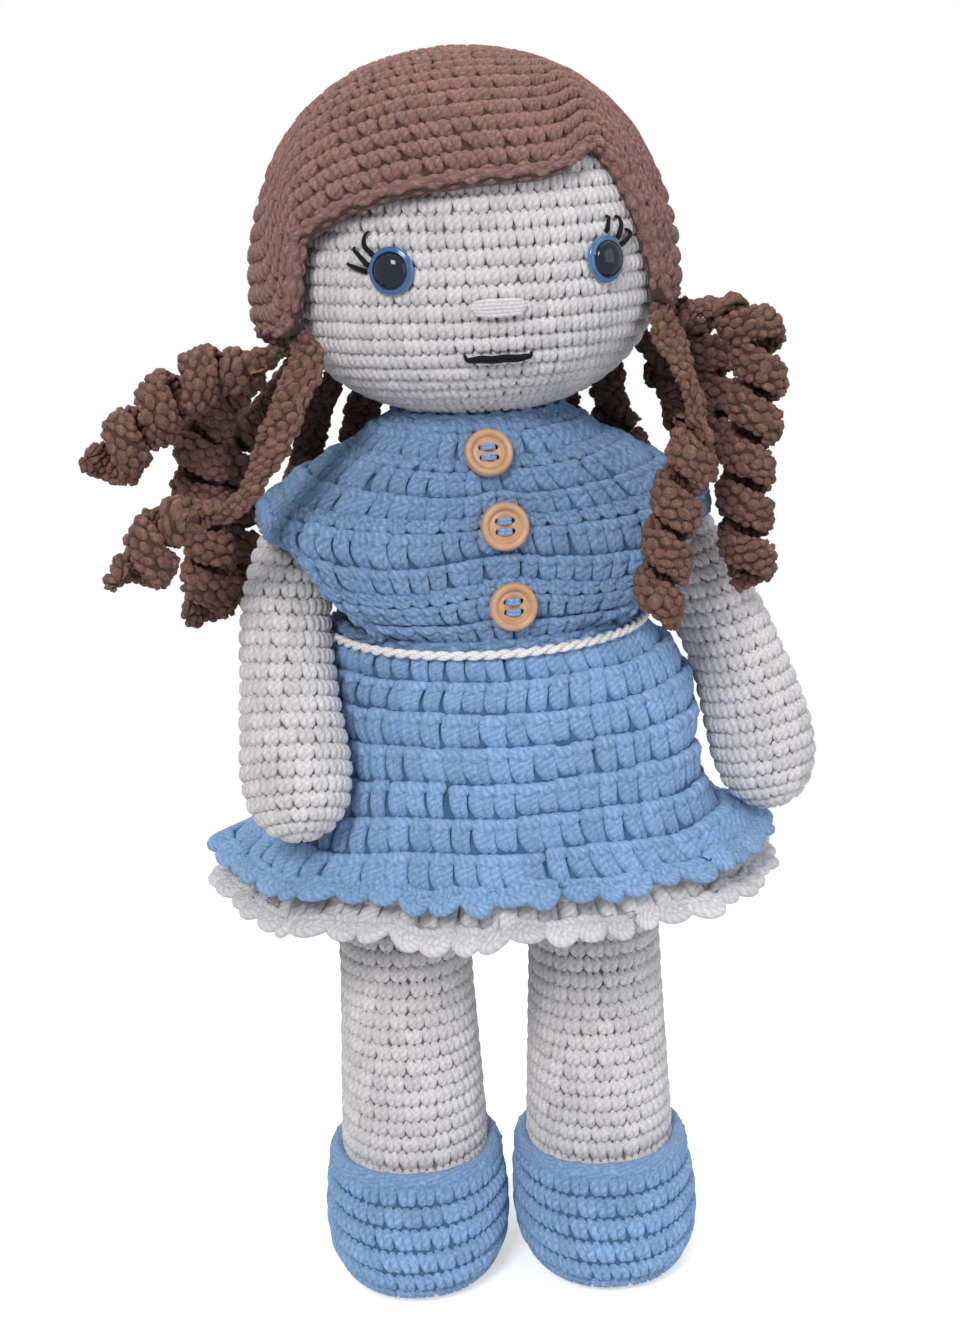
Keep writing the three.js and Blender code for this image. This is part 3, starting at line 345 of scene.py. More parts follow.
def lengths_to(points):
    """The length of a line up to each of its points."""
    return np.concatenate([[0], np.cumsum(np.linalg.norm(np.diff(points, axis=0), axis=1))])


def resampled(values, keys, at):
    """Rows of three values, given at keys, read at other keys."""
    return np.stack([np.interp(at, keys, values[:, k]) for k in range(3)], -1)


def run_on(points):
    """A line with one more point at each end, straight on."""
    return np.vstack([2 * points[0] - points[1], points, 2 * points[-1] - points[-2]])


def blurred(values, times):
    """Values round a ring, each drawn towards its neighbours."""
    for _ in range(times):
        values = (np.roll(values, 1, 0) + 2 * values + np.roll(values, -1, 0)) / 4
    return values


class Curve:
    """A centripetal Catmull-Rom curve through points, read by its length."""

    def __init__(self, points, divisions=500):
        p = run_on(np.array(points, float))
        t = np.linspace(0, len(p) - 3, divisions + 1)
        k = np.minimum(t.astype(int), len(p) - 4)
        w = (t - k)[:, None]
        x0, x1, x2, x3 = (p[k + i] for i in range(4))
        d0, d1, d2 = (np.sqrt(np.linalg.norm(b - a, axis=1))[:, None] for a, b in
                      ((x0, x1), (x1, x2), (x2, x3)))
        t1 = ((x1 - x0) / d0 - (x2 - x0) / (d0 + d1) + (x2 - x1) / d1) * d1
        t2 = ((x2 - x1) / d1 - (x3 - x1) / (d1 + d2) + (x3 - x2) / d2) * d1
        self.points = x1 + w * (t1 + w * (-3 * x1 + 3 * x2 - 2 * t1 - t2 + w * (2 * x1 - 2 * x2 + t1 + t2)))
        self.lengths = lengths_to(self.points)
        self.length = self.lengths[-1]

    def at(self, share):
        return resampled(self.points, self.lengths, np.clip(share, 0, 1) * self.length)

    def run(self, share):
        step = 0.4 / self.length
        return unit(self.at(np.asarray(share) + step) - self.at(np.asarray(share) - step))


# Cloth and stitches. A mesh is its vertices, its quads and its yarn marks.

WIRE_SIDES = 8


class Cloth:
    """A surface that closes round on itself, as a grid of points: rows run upward (v), columns run
    round it (u), to the right seen from outside. It is read at any (v, u) from 0 to 1."""

    def __init__(self, grid, rows=160, columns=192, even=True):
        if even:
            grid = self.spread(np.swapaxes(grid, 0, 1), rows, False)
            grid = self.spread(np.swapaxes(grid, 0, 1), columns, True)
        self.grid = grid
        across = np.roll(grid, -1, 1) - np.roll(grid, 1, 1)
        self.normals = unit(np.cross(across, np.gradient(grid, axis=0)))
        self.tall = float(np.linalg.norm(np.diff(grid, axis=0), axis=2).sum(0).mean())

    @staticmethod
    def spread(lines, count, closed):
        """Each line of points with count points spread evenly along it."""
        if closed:
            lines = np.concatenate([lines, lines[:, :1]], 1)
        share = np.linspace(0, 1, count, endpoint=not closed)
        lengths = [lengths_to(line) for line in lines]
        return np.stack([resampled(line, s, share * s[-1]) for line, s in zip(lines, lengths)])

    @classmethod
    def outward(cls, grid, *size, **more):
        """A cloth whose columns run to the right seen from outside, whichever way the grid's run."""
        cloth = cls(grid, *size, **more)
        half = cloth.grid[:len(cloth.grid) // 2]
        away = half - half.mean(1, keepdims=True)
        return cls(grid[:, ::-1], *size, **more) if np.sum(away * cloth.normals[:len(half)]) < 0 else cloth

    def round_at(self, v):
        """How far it is round the surface at a height."""
        row, _ = self.at(np.full(96, v), np.linspace(0, 1, 97)[:-1])
        return float(np.linalg.norm(np.roll(row, -1, 0) - row, axis=1).sum())

    def at(self, v, u):
        """Points and outward directions. Past its ends the surface runs straight on."""
        rows, columns = self.grid.shape[:2]
        y, x = np.clip(v, 0, 1) * (rows - 1), (u % 1.0) * columns
        i, j = np.minimum(y.astype(int), rows - 2), np.minimum(x.astype(int), columns - 1)
        k = (j + 1) % columns
        fy, fx = (y - i)[..., None], (x - j)[..., None]
        point, normal = ((g[i, j] * (1 - fx) + g[i, k] * fx) * (1 - fy)
                         + (g[i + 1, j] * (1 - fx) + g[i + 1, k] * fx) * fy
                         for g in (self.grid, self.normals))
        over = (np.clip(v, None, 0) + np.clip(v - 1, 0, None))[..., None]
        rise = np.where(over < 0, self.grid[1, j] - self.grid[0, j], self.grid[-1, j] - self.grid[-2, j])
        return point + rise * over * (rows - 1), unit(normal)


def quads(rows, columns):
    """The faces of a grid of points that closes round on itself."""
    i = np.arange(rows - 1)[:, None] * columns
    j = np.arange(columns)[None]
    k = (j + 1) % columns
    return np.stack([i + j, i + k, i + k + columns, i + j + columns], -1).reshape(-1, 4)


def round_marks(length, sides, tone=0.0):
    """The yarn marks of a round strand, given the length to each of its rings."""
    return np.stack([np.repeat(length, sides), np.tile(np.arange(sides) / sides, len(length)),
                     np.full(len(length) * sides, tone)], -1)


def tube(centre, side, up, radius, sides):
    """A grid of rings round a line of centres."""
    t = turns(sides)[None, :, None]
    ring = side[:, None] * np.cos(t) + up[:, None] * np.sin(t)
    return centre[:, None] + ring * np.reshape(radius, (-1, 1, 1))


def strand(path, radius, sides=6, steps=6, flat=1.0, start=0.0):
    """A length of yarn through points (across, up, out) in mm, with a radius at each point."""
    path = np.array(path, float)
    t = np.linspace(0, len(path) - 1, steps)
    k = np.minimum(t.astype(int), len(path) - 2)
    w = (t - k)[:, None]
    p0, p1, p2, p3 = (run_on(path)[k + i] for i in range(4))
    centre = 0.5 * (2 * p1 + (p2 - p0) * w + (2 * p0 - 5 * p1 + 4 * p2 - p3) * w ** 2
                    + (3 * p1 - p0 - 3 * p2 + p3) * w ** 3)
    r = np.interp(t, np.arange(len(path)), radius)
    run = unit(np.gradient(centre, axis=0))
    side = unit(np.cross(run, np.array([0.0, 0.0, 1.0]) + 1e-3))
    points = tube(centre, side, np.cross(side, run) * flat, r, sides).reshape(-1, 3)
    return points, quads(steps, sides)[:, ::-1], round_marks(start + lengths_to(centre), sides)


def wire(path, radius, tone):
    """A round strand along a path of points, its radius a number or one for each point."""
    run = unit(np.gradient(path, axis=0))
    side = np.empty_like(path)
    side[0] = unit(np.cross(run[0], [0.0, 0, 1] if abs(run[0, 2]) < 0.9 else [1.0, 0, 0]))
    for i in range(1, len(path)):
        side[i] = unit(side[i - 1] - run[i] * np.dot(side[i - 1], run[i]))
    points = tube(path, side, np.cross(side, run), radius, WIRE_SIDES).reshape(-1, 3)
    faces = np.roll(quads(len(path), WIRE_SIDES)[:, ::-1], 1, 1)
    return points, faces, round_marks(lengths_to(path), WIRE_SIDES, tone)


def joined(*meshes):
    """Meshes as one."""
    counts = np.cumsum([0] + [len(verts) for verts, _, _ in meshes])
    return (np.vstack([verts for verts, _, _ in meshes]),
            np.vstack([faces + count for (_, faces, _), count in zip(meshes, counts)]),
            np.vstack([marks for _, _, marks in meshes]))


class Stitch:
    """One stitch, drawn on a cell of a given width and height in mm, its middle at (0, 0)."""

    def __init__(self, width, height, *strands):
        self.width, self.height = width, height
        self.verts, self.faces, self.marks = joined(*strands)


def crochet(cloth, rows, keep=None, jitter=0.05, seed=0):
    """Stitches on rows of a cloth. Each row is (v of its middle, height in v, stitch, count or None,
    shift), and keep(points) says which stitches are made."""
    rng = np.random.default_rng(seed)
    built = []
    for v, tall, stitch, count, shift in rows:
        if count is None:
            count = max(5, int(round(cloth.round_at(v) / stitch.width)))
        u = (np.arange(count) + 0.5 + shift) / count
        if keep is not None:
            u = u[keep(cloth.at(np.full(count, v), u)[0])]
        n = len(u)
        if not n:
            continue
        a, b, h = stitch.verts.T
        swell, lean, slip, lift, longer = (rng.normal(0, jitter * share, (n, 1)) for share in
                                           (1, 1, 0.6, 1.6, 0.5))
        a, b = a / stitch.width, b / stitch.height
        across = a * (1 + swell) + lean * b + slip
        point, out = cloth.at(v + b * (1 + longer) * tall, u[:, None] + across / count)
        verts = point + out * (h + lift)[..., None]
        faces = stitch.faces[None] + (np.arange(n) * len(a))[:, None, None]
        marks = np.repeat(stitch.marks[None], n, 0)
        marks[..., 2] = rng.random((n, 1))
        marks[..., 0] += rng.random((n, 1)) * 9
        built.append((verts.reshape(-1, 3), faces.reshape(-1, 4), marks.reshape(-1, 3)))
    return joined(*built)


def even_rows(cloth, stitch, first=0.0, last=1.0, shift=0.15, pitch=None, count=None):
    """Rows of one stitch from v first to v last, with count stitches in each."""
    number = max(1, int(round(cloth.tall * (last - first) / (pitch or stitch.height))))
    tall = (last - first) / number
    return [(first + (i + 0.5) * tall, tall, stitch, count, (i * shift) % 1.0) for i in range(number)]


def skin(cloth, inset, tiles, keep=None):
    """The grid of a cloth moved inward, with tiles knots up and round it."""
    rows, columns = cloth.grid.shape[:2]
    verts = (cloth.grid - cloth.normals * inset).reshape(-1, 3)
    faces = quads(rows, columns)
    if keep is not None:
        faces = faces[keep(verts[faces].mean(1))]
    v, u = np.meshgrid(np.linspace(0, tiles[0], rows), np.linspace(0, tiles[1], columns), indexing="ij")
    return verts, faces, np.stack([v.ravel(), u.ravel(), np.zeros(v.size)], -1)


def shell(cloth, outer, inner, tiles, keep=None):
    """A closed layer between two depths under a cloth, with the cells that keep(points) leaves."""
    out, faces, marks = skin(cloth, outer, tiles, keep)
    into, count = skin(cloth, inner, tiles)[0], len(out)
    edges = np.concatenate([faces[:, [k, (k + 1) % 4]] for k in range(4)])
    _, index, times = np.unique(np.sort(edges, 1), axis=0, return_index=True, return_counts=True)
    rim = edges[index[times == 1]]
    walls = np.stack([rim[:, 1], rim[:, 0], rim[:, 0] + count, rim[:, 1] + count], -1)
    return (np.vstack([out, into]), np.vstack([faces, faces[:, ::-1] + count, walls]),
            np.vstack([marks, marks]))


def lids(centres, starts, columns):
    """Quads that close the two rings of points from starts on, round their centres."""
    k = np.arange(0, columns, 2)
    n = (k + 2) % columns
    low, high = (np.stack([np.full(len(k), centre), start + n, start + k + 1, start + k], -1)
                 for centre, start in zip(centres, starts))
    return [low, high[:, ::-1]]


def lidded(cloth, inset, tiles):
    """A closed body inside a cloth, with a lid at each end."""
    verts, faces, marks = skin(cloth, inset, tiles)
    rows, columns = cloth.grid.shape[:2]
    ends = verts[:columns].mean(0), verts[-columns:].mean(0)
    caps = lids((len(verts), len(verts) + 1), (0, (rows - 1) * columns), columns)
    return np.vstack([verts, *ends]), np.vstack([faces, *caps]), np.vstack([marks, np.zeros((2, 3))])


# Pieces of the scene

def add_piece(name, mesh, look, replaces=(), body="doll", parts=None):
    """An object from a mesh. look is a Look, or a list of them and parts says which each face wears."""
    verts, faces, marks = mesh
    looks = look if isinstance(look, list) else [look]
    data = bpy.data.meshes.new(name)
    data.vertices.add(len(verts))
    data.vertices.foreach_set("co", ((verts + FRAME_SHIFT) / METRE).astype(np.float32).ravel())
    data.loops.add(faces.size)
    data.loops.foreach_set("vertex_index", faces.astype(np.int32).ravel())
    data.polygons.add(len(faces))
    data.polygons.foreach_set("loop_start", np.arange(0, faces.size, 4, dtype=np.int32))
    held = data.attributes.new("yarn", "FLOAT_VECTOR", "POINT")
    held.data.foreach_set("vector", marks.astype(np.float32).ravel())
    for one in looks:
        data.materials.append(one.material)
    data.update(calc_edges=True)
    data.validate()
    data.polygons.foreach_set("use_smooth", np.ones(len(data.polygons), bool))
    if parts is not None:
        data.polygons.foreach_set("material_index", np.asarray(parts, np.int32))
    piece = add_object(name, data)
    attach(piece, body)
    if replaces:
        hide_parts(*replaces)
    return piece


def add_padded(name, cloth, rows, seed, pad, inset, tiles, keep=None, body="doll", more=()):
    """Rows of stitches on a cloth and the padding inside pad, in place of a skin, its filling and
    whatever more it holds."""
    stitches = crochet(cloth, rows, keep, seed=seed)
    nodes = [name + "_skin", name + "_filling", *more]
    add_piece(name + "_pad", lidded(pad, inset, tiles), CREAM_BACK_SHADE, nodes, body)
    add_piece(name + "_stitches", stitches, CREAM_YARN, body=body)


def add_sheet(name, node, layer, back, yarn, over):
    """A sheet in place of a solid, with meshes of yarn over it."""
    piece = add_piece(name + "_layer", layer, back, [node])
    with_pieces = [add_piece(part, mesh, yarn) for part, mesh in over.items()]


# Stitches

def cell_strand(size, top, r, points, **more):
    """A strand through points (across, up, out, thickness): shares of the cell's size across and up,
    mm outward from top, and the thickness as a share of r."""
    return strand([(a * size[0], b * size[1], top + h) for a, b, h, _ in points],
                  [r * thick for *_, thick in points], **more)


def head_band(size, y, r, high, dip=0.6):
    """The thick top of a stitch, a row of lumps that runs on into the next stitch's."""
    low, up = y - 0.02, y + 0.02
    return cell_strand(size, high - r * 0.85, r,
                       [(-0.54, low, -dip, 0.72), (-0.30, up, -0.05, 1.02), (-0.04, low, -dip * 0.35, 0.88),
                        (0.24, up, 0, 1.05), (0.54, low, -dip, 0.72)], steps=9, flat=0.85, start=7)


def single_crochet(width, height, high=0.2, slant=0.05, groove=1.5, deep=0.1, close=0.12):
    """Two plump strands under a lumpy top, closing beside the hole of the stitch."""
    size, r, flat = (width, height), width * 0.275, 0.8
    parts = [head_band(size, 0.15, height * 0.29, high - deep, 0.35)]
    for side in (-1, 1):
        path = [(side * 0.25 - slant, 0.50, -groove * 0.7, 0.75),
                (side * 0.26 - slant, 0.29, -groove * 0.22, 0.98), (side * 0.25, 0.06, 0, 1.05),
                (side * (0.25 - close * 0.25) + slant * 0.5, -0.17, -0.02, 1.03),
                (side * (0.25 - close * 0.6) + slant, -0.35, -groove * 0.36, 0.93),
                (side * (0.25 - close) + slant, -0.52, -groove, 0.6)]
        parts.append(cell_strand(size, high - r * flat, r, path, flat=flat, start=3.1 * (side + 1), steps=8))
    return Stitch(width, height, *parts)


def knob(width, height, r, high, groove):
    """One small round lump."""
    path = [(-0.05, 0.44, -groove, 0.5), (-0.03, 0.26, -groove * 0.3, 0.88), (0, 0.02, 0, 1.04),
            (0.04, -0.24, -groove * 0.3, 0.9), (0.08, -0.44, -groove, 0.5)]
    lump = cell_strand((width, height), high - r * 0.9, r, path, steps=8, sides=8, flat=0.9)
    return Stitch(width, height, lump)


def post_block(width, height, lean=0.0):
    """A tall stitch: a thick lumpy top, and under it a post with a crease that parts from the next
    one as it goes down behind the row below."""
    size, high = (width, height), 0.2
    r, s, b = width * 0.395, width * 0.235, height * 0.20
    post = [(-0.16 - lean, 0.30, -0.1, 0.95), (-0.15 - lean * 0.5, 0.10, 0, 1.08), (-0.13, -0.14, -0.15, 1),
            (-0.08 + lean, -0.36, -0.8, 0.86), (lean, -0.62, -2.4, 0.6)]
    fold = [(0.24 - lean, 0.28, -0.2, 1.05), (0.23 - lean * 0.5, 0.04, -0.05, 1.1), (0.22, -0.18, -0.2, 1),
            (0.23 + lean, -0.38, -0.9, 0.85), (0.28 + lean, -0.62, -2.4, 0.6)]
    tops = [(-0.56, 0.30, -0.85, 0.72), (-0.34, 0.34, -0.15, 0.95), (-0.08, 0.29, 0.15, 1.1),
            (0.20, 0.33, -0.05, 0.97), (0.52, 0.35, -0.95, 0.7)]
    return Stitch(width, height,
                  cell_strand(size, high - r * 0.66, r, post, steps=10, sides=9, flat=0.66),
                  cell_strand(size, high + 0.1 - s * 0.85, s, fold, steps=9, sides=7, flat=0.85, start=4),
                  cell_strand(size, high + 0.6 - b * 0.85, b, tops, steps=12, sides=8, flat=0.85, start=7))


def chain_top(width, height):
    """The loops along the top of a row: drooping strands that overlap like links."""
    size, r = (width, height), 1.3
    low = [(-0.62, 0.42, -1.5, 0.65), (-0.42, 0.05, -0.2, 1), (-0.08, -0.26, 0, 1.05), (0.28, -0.16, 0, 1),
           (0.55, 0.28, -1.3, 0.6)]
    over = [(-0.34, 0.66, -1.4, 0.6), (-0.14, 0.38, -0.2, 0.9), (0.18, 0.30, -0.05, 0.9),
            (0.5, 0.52, -1.2, 0.6)]
    return Stitch(width, height, cell_strand(size, 0.35 - r, r, low, steps=8, sides=7),
                  cell_strand(size, 0.35 - r, r, over, steps=6, sides=7, start=5))


def scallop(width, height):
    """A drooping arc of thick yarn, filled with lumps, under a thick band."""
    size, r, high = (width, height), 1.75, 0.8
    arc = [(0.5 * a, 0.30 - 0.62 * (1 - abs(a) ** 2.2), -0.5 * abs(a) ** 3, 0.82 + 0.2 * math.cos(a * 1.4))
           for a in np.linspace(-1, 1, 9)]
    parts = [head_band(size, 0.50, r * 0.95, high - 0.5),
             cell_strand(size, high - r, r, arc, steps=15, sides=8)]
    for x, y, big in ((-0.20, 0.16, 1.0), (0.02, 0.04, 1.05), (0.22, 0.16, 1.0)):
        path = [(x - 0.08, y + 0.26, -0.5, 0.75 * big), (x, y, 0.1, 0.9 * big),
                (x + 0.07, y - 0.22, -0.3, 0.75 * big)]
        parts.append(cell_strand(size, high - r, r, path, steps=6, start=3 + x))
    return Stitch(width, height, *parts)


SC_FACE = single_crochet(4.5, 4.6)
SC_LIMB = single_crochet(5.0, 4.6, groove=1.7, close=0.15)
SC_HAIR = single_crochet(5.4, 5.2, slant=0.1, groove=2.2, high=0.4, deep=0.2, close=0.16)
SC_SHOE = single_crochet(5.6, 6.0, groove=2.6, high=0.3, close=0.14)
# width, height, radius, how high it stands and how deep its ends go
KNOB_CURL = knob(3.6, 2.55, 1.75, 0.4, 0.85)
KNOB_BAND = knob(4.4, 5.0, 2.3, 0.25, 0.6)
KNOB_EDGE = knob(3.8, 4.4, 1.9, 0.3, 0.8)


# Surfaces

def looped(points):
    return np.concatenate([points, points[:1]])


def rings(a, b, heights, columns, power=2.0):
    """A grid of ovals, each half as wide as a and half as deep as b."""
    t, share = turns(columns)[None], 2 / np.reshape(power, (-1, 1))
    return np.stack([a[:, None] * power_of(np.cos(t), share), b[:, None] * power_of(np.sin(t), share),
                     np.repeat(np.asarray(heights, float)[:, None], columns, 1)], -1)


def oval_grid(table, heights, columns, inset=0.0):
    """Ovals from a table of height, half width, half depth and perhaps the oval's power."""
    a, b, *power = along(table, heights).T
    return rings(a - inset, b - inset, heights, columns, *power)


def cord(path, out, half_wide, half_thick, stitch, seed, count, jitter=0.06):
    """The cloth and stitches of a flat cord along a path, count stitches round it. out is its thin
    direction at each point."""
    run = unit(np.gradient(path, axis=0))
    out = unit(out - run * np.sum(out * run, -1, keepdims=True))
    side, t = np.cross(out, run), turns(24)
    wide, thick = (power_of(share, 0.8)[None, :, None] * np.reshape(half, (-1, 1, 1))
                   for share, half in ((np.cos(t), half_wide), (np.sin(t), half_thick)))
    grid = Cloth.spread(path[:, None] - side[:, None] * wide - out[:, None] * thick, 36, True)
    cloth = Cloth.outward(grid, even=False)
    return cloth, crochet(cloth, even_rows(cloth, stitch, shift=0.5, count=count), seed=seed, jitter=jitter)


def edging(path, out, half_wide, half_thick, stitch, seed, count, inset, tiles):
    """A thick edge: the stitches of a cord and its core."""
    cloth, stitches = cord(path, out, half_wide, half_thick, stitch, seed, count)
    return joined(stitches, lidded(cloth, inset, (tiles, 4)))


# Head and hair

HEAD_POWER = 2.2
HEAD_WIDE, HEAD_DEEP, HEAD_MIDDLE, HEAD_OVER, HEAD_UNDER = 50.5, 47.5, 283, 53, 37
# the opening of the hair, as (x, z) seen from the front
HAIRLINE = np.array([[-52.5, 240], [-53, 272], [-52.5, 284], [-51, 296], [-40, 303.5], [-25, 308],
                     [-5, 310.2], [12, 310.8], [19, 312.4], [25, 317], [28, 317.6], [32.5, 314],
                     [37.5, 306], [42, 294], [45, 284], [46.5, 272], [46.5, 240]], float)
CAP_OUT = 6.3
CAP_SHIFT = 2.2
CAP_TILT = math.radians(30)
EDGE_V = 0.022


def head_level(angle, offset=0.0):
    """How wide the head is, as a share, and how high, at an angle down from its top."""
    c = np.cos(angle)
    reach = np.where(c > 0, HEAD_OVER, HEAD_UNDER) + offset
    return np.sin(angle) ** (2 / HEAD_POWER), HEAD_MIDDLE + reach * power_of(c, 2 / HEAD_POWER)


def face_spot(x, z, out=0.0):
    """A point of the face, moved outward."""
    x, z = np.asarray(x, float), np.asarray(z, float)
    reach = np.where(z > HEAD_MIDDLE, HEAD_OVER, HEAD_UNDER)
    s = (1 - (np.abs(z - HEAD_MIDDLE) / reach) ** HEAD_POWER) ** (1 / HEAD_POWER)
    y = -HEAD_DEEP * s * np.sqrt(np.clip(1 - (x / (HEAD_WIDE * s)) ** 2, 0, 1))
    point = np.stack([x, y, z], -1)
    if np.any(out):
        h = 0.5
        across = face_spot(x + h, z) - face_spot(x - h, z)
        up = face_spot(x, z + h) - face_spot(x, z - h)
        point = point + unit(np.cross(across, up)) * np.asarray(out)[..., None]
    return point


def on_face(points, margin):
    """Which points lie in the opening of the hair, grown by a margin."""
    edge = unit(np.roll(HAIRLINE, -1, 0) - HAIRLINE)
    before = np.roll(edge, 1, 0)
    away = unit(np.stack([-(edge[:, 1] + before[:, 1]), edge[:, 0] + before[:, 0]], -1))
    shape = HAIRLINE + away * margin
    x, z = points[:, 0], points[:, 2]
    hit = np.zeros(len(x), bool)
    for (x1, z1), (x2, z2) in zip(shape, np.roll(shape, -1, 0)):
        if z1 != z2:
            hit ^= ((z1 > z) != (z2 > z)) & (x < (x2 - x1) * (z - z1) / (z2 - z1) + x1)
    return (points[:, 1] < -8) & hit


def cap_rim(x, y):
    """The height of the cap's rim, which falls towards the back of the head."""
    azimuth = np.degrees(np.arctan2(x, -y))
    side = np.where(azimuth > 0, 275.0, 271.0)
    return side + (256 - side) * smooth(75, 150, np.abs(azimuth))


def build_head():
    s, z = head_level(np.linspace(2.87, 0.03, 140))
    grid = rings(HEAD_WIDE * s, HEAD_DEEP * s, z, 192)
    cloth = Cloth(grid)
    add_padded("head", cloth, even_rows(cloth, SC_FACE, pitch=4.6), 1, Cloth(grid, 90, 120), 1.55, (33, 72),
               lambda p: on_face(p, 6.5) | (p[:, 2] < cap_rim(p[:, 0], p[:, 1]) + 5))


def cap_spots(angle, t, offset, shift):
    """Points of the cap at an angle down from the top of the head and a turn t round it, and the
    angle of its rim there."""
    ex, ey = (HEAD_WIDE + offset) * np.cos(t), (HEAD_DEEP + offset) * np.sin(t)
    down = (cap_rim(ex, ey) - HEAD_MIDDLE) / (HEAD_UNDER + offset)
    last = np.pi / 2 + np.arcsin(np.abs(down) ** (HEAD_POWER / 2))
    s, z = head_level(angle, offset)
    slack = 1 + 0.03 * smooth(0.6, 1, angle / last)
    return np.stack([ex * s * slack - shift, ey * s * slack, z], -1), last


def cap_ways(a, b):
    """Directions round the cap's tilted pole, as an angle down from the head's top and a turn."""
    x, y, z = np.sin(a) * np.cos(b), np.sin(a) * np.sin(b), np.cos(a)
    c, s = math.cos(CAP_TILT), math.sin(CAP_TILT)
    y, z = y * c + z * s, z * c - y * s
    return np.arccos(np.clip(z, -1, 1)), np.arctan2(y, x)


def cap_grid():
    """The cap from its edge, round the face and above the rim, up to its tilted pole."""
    b = turns(240)
    a = np.linspace(0.5, 2.4, 500)
    angle, turn = cap_ways(*np.meshgrid(a, b, indexing="ij"))
    points, last = cap_spots(angle, turn, CAP_OUT, CAP_SHIFT)
    past = on_face(points.reshape(-1, 3), 0) | (angle > last).ravel()
    reach = blurred(a[np.argmax(past.reshape(angle.shape), 0)], 3)
    a = np.linspace(1, 0.012, 130)[:, None] * reach
    return cap_spots(*cap_ways(a, np.broadcast_to(b, a.shape)), CAP_OUT, CAP_SHIFT)[0]


def build_cap():
    grid = cap_grid()
    cloth = Cloth(grid, 140, 240)
    rows = even_rows(cloth, SC_HAIR, first=0.042, pitch=5.1)
    side_rows = len(rows) * 2 // 5
    ring, way = cloth.at(np.full(420, EDGE_V), np.linspace(0, 1, 421)[:-1])
    middle = blurred(ring - way * 2.6, 4)
    over = {"cap_side_stitches": crochet(cloth, rows[:side_rows], seed=2, jitter=0.09),
            "cap_crown_stitches": crochet(cloth, rows[side_rows:], seed=3, jitter=0.09),
            "cap_edge": edging(looped(middle), looped(way), 2.3, 2.8, KNOB_EDGE, 5, 5, 0.7, 90)}
    add_sheet("cap", "wig_cap", shell(Cloth(grid, 120, 220), 1.3, 5.0, (27, 80)), BROWN_BACK_SHADE, BROWN_YARN,
              over)


# Limbs, feet and body

SIDES = {"right": -1, "left": 1}
ARM_LINES = {"right": [[-49.6, .5, 221.5], [-50.6, 0, 214], [-56.2, -6.5, 197], [-57.7, -15.8, 177],
                       [-58, -25.6, 157], [-58, -34.2, 138]],
             "left": [[49.8, 0, 221.5], [50.6, 0, 214], [61.2, -2.2, 195], [69, -5.6, 177], [75, -9.6, 156],
                      [79.6, -13.4, 128]]}
# share of the arm, radius
ARM_RADII = [[0, .5], [.035, 6.6], [.08, 10.4], [.15, 12], [.36, 12.6], [.52, 13.3], [.68, 14.6], [.8, 15],
             [.9, 13], [.965, 8], [1, .8]]
# height, half width, front, back
LEG = [[5.6, 15.5, -33, 12], [7.2, 19.8, -39, 17.5], [12, 22.3, -43.6, 20.6], [18, 22.4, -39.5, 21.3],
       [24, 22, -29, 21.6], [30, 21.8, -22.4, 21.6], [40, 21.3, -21.3, 21.3], [60, 20.4, -20.4, 20.4],
       [85, 19.3, -19.3, 19.3], [112, 18.6, -18.6, 18.6], [124, 17.4, -17.4, 17.4]]
SHOE = [[0, 19.5, -39.5, 16.5], [2.2, 22.8, -44.5, 20.5], [8, 25.8, -48.6, 24.2], [15, 26.7, -48.4, 25.6],
        [21, 26.5, -43, 25.9], [26, 25.7, -34.2, 25.4], [29.4, 24.7, -27.2, 24.6], [30.4, 23.7, -24.9, 23.7]]
LOWER_TURN = -8
FOOT_POWER = 2.15
FOOT_ASIDE = 27.5
# height, half width, half depth
TRUNK = [[112, 24, 16], [117, 37, 25], [126, 43, 30.5], [140, 43, 32], [158, 40.4, 31], [175, 38.6, 30.3],
         [190, 37.6, 30], [204, 37.6, 29.5], [215, 37.2, 27.5], [226, 32, 24.5], [233, 25.5, 21.2],
         [240, 20.3, 18.8], [246, 19, 18]]


def build_arms():
    share = np.linspace(0.9985, 0.0015, 130)
    radius = np.maximum(0.4, along(ARM_RADII, share)[:, 0])
    for name, line in ARM_LINES.items():
        curve = Curve(line)
        run = curve.run(share)
        across = unit(np.cross(run, [1.0, 0, 0]))
        grid = tube(curve.at(share), across, np.cross(across, run), radius, 72)
        cloth = Cloth.outward(grid, 120, 72)
        rows = even_rows(cloth, SC_LIMB, pitch=4.5, first=0.012, last=0.985)
        add_padded(name + "_arm", cloth, rows, 3, Cloth.outward(grid, 70, 48), 1.5, (22, 20),
                   body=name + "_arm")


def foot_grid(table, side, heights, inset=0.0, scale=1.0):
    a, front, back = along(table, heights).T
    grid = rings((a - inset) * scale, ((back - front) / 2 - inset) * scale, heights, 96, FOOT_POWER)
    grid[..., 0] += side * FOOT_ASIDE
    grid[..., 1] += ((front + back) / 2)[:, None]
    return turned(grid, LOWER_TURN)


def build_legs():
    for name, side in SIDES.items():
        cloth = Cloth.outward(foot_grid(LEG, side, np.linspace(24, 124, 120)), 120, 96)
        rows = even_rows(cloth, SC_LIMB, pitch=4.65, last=0.96)
        grid = foot_grid(LEG, side, np.concatenate([np.linspace(5.7, 30, 24), np.linspace(31, 123, 60)]))
        add_padded(name + "_leg", cloth, rows, 4, Cloth.outward(grid, 84, 72), 1.5, (27, 29),
                   more=[name + "_insole"])
        build_shoe(side, name)


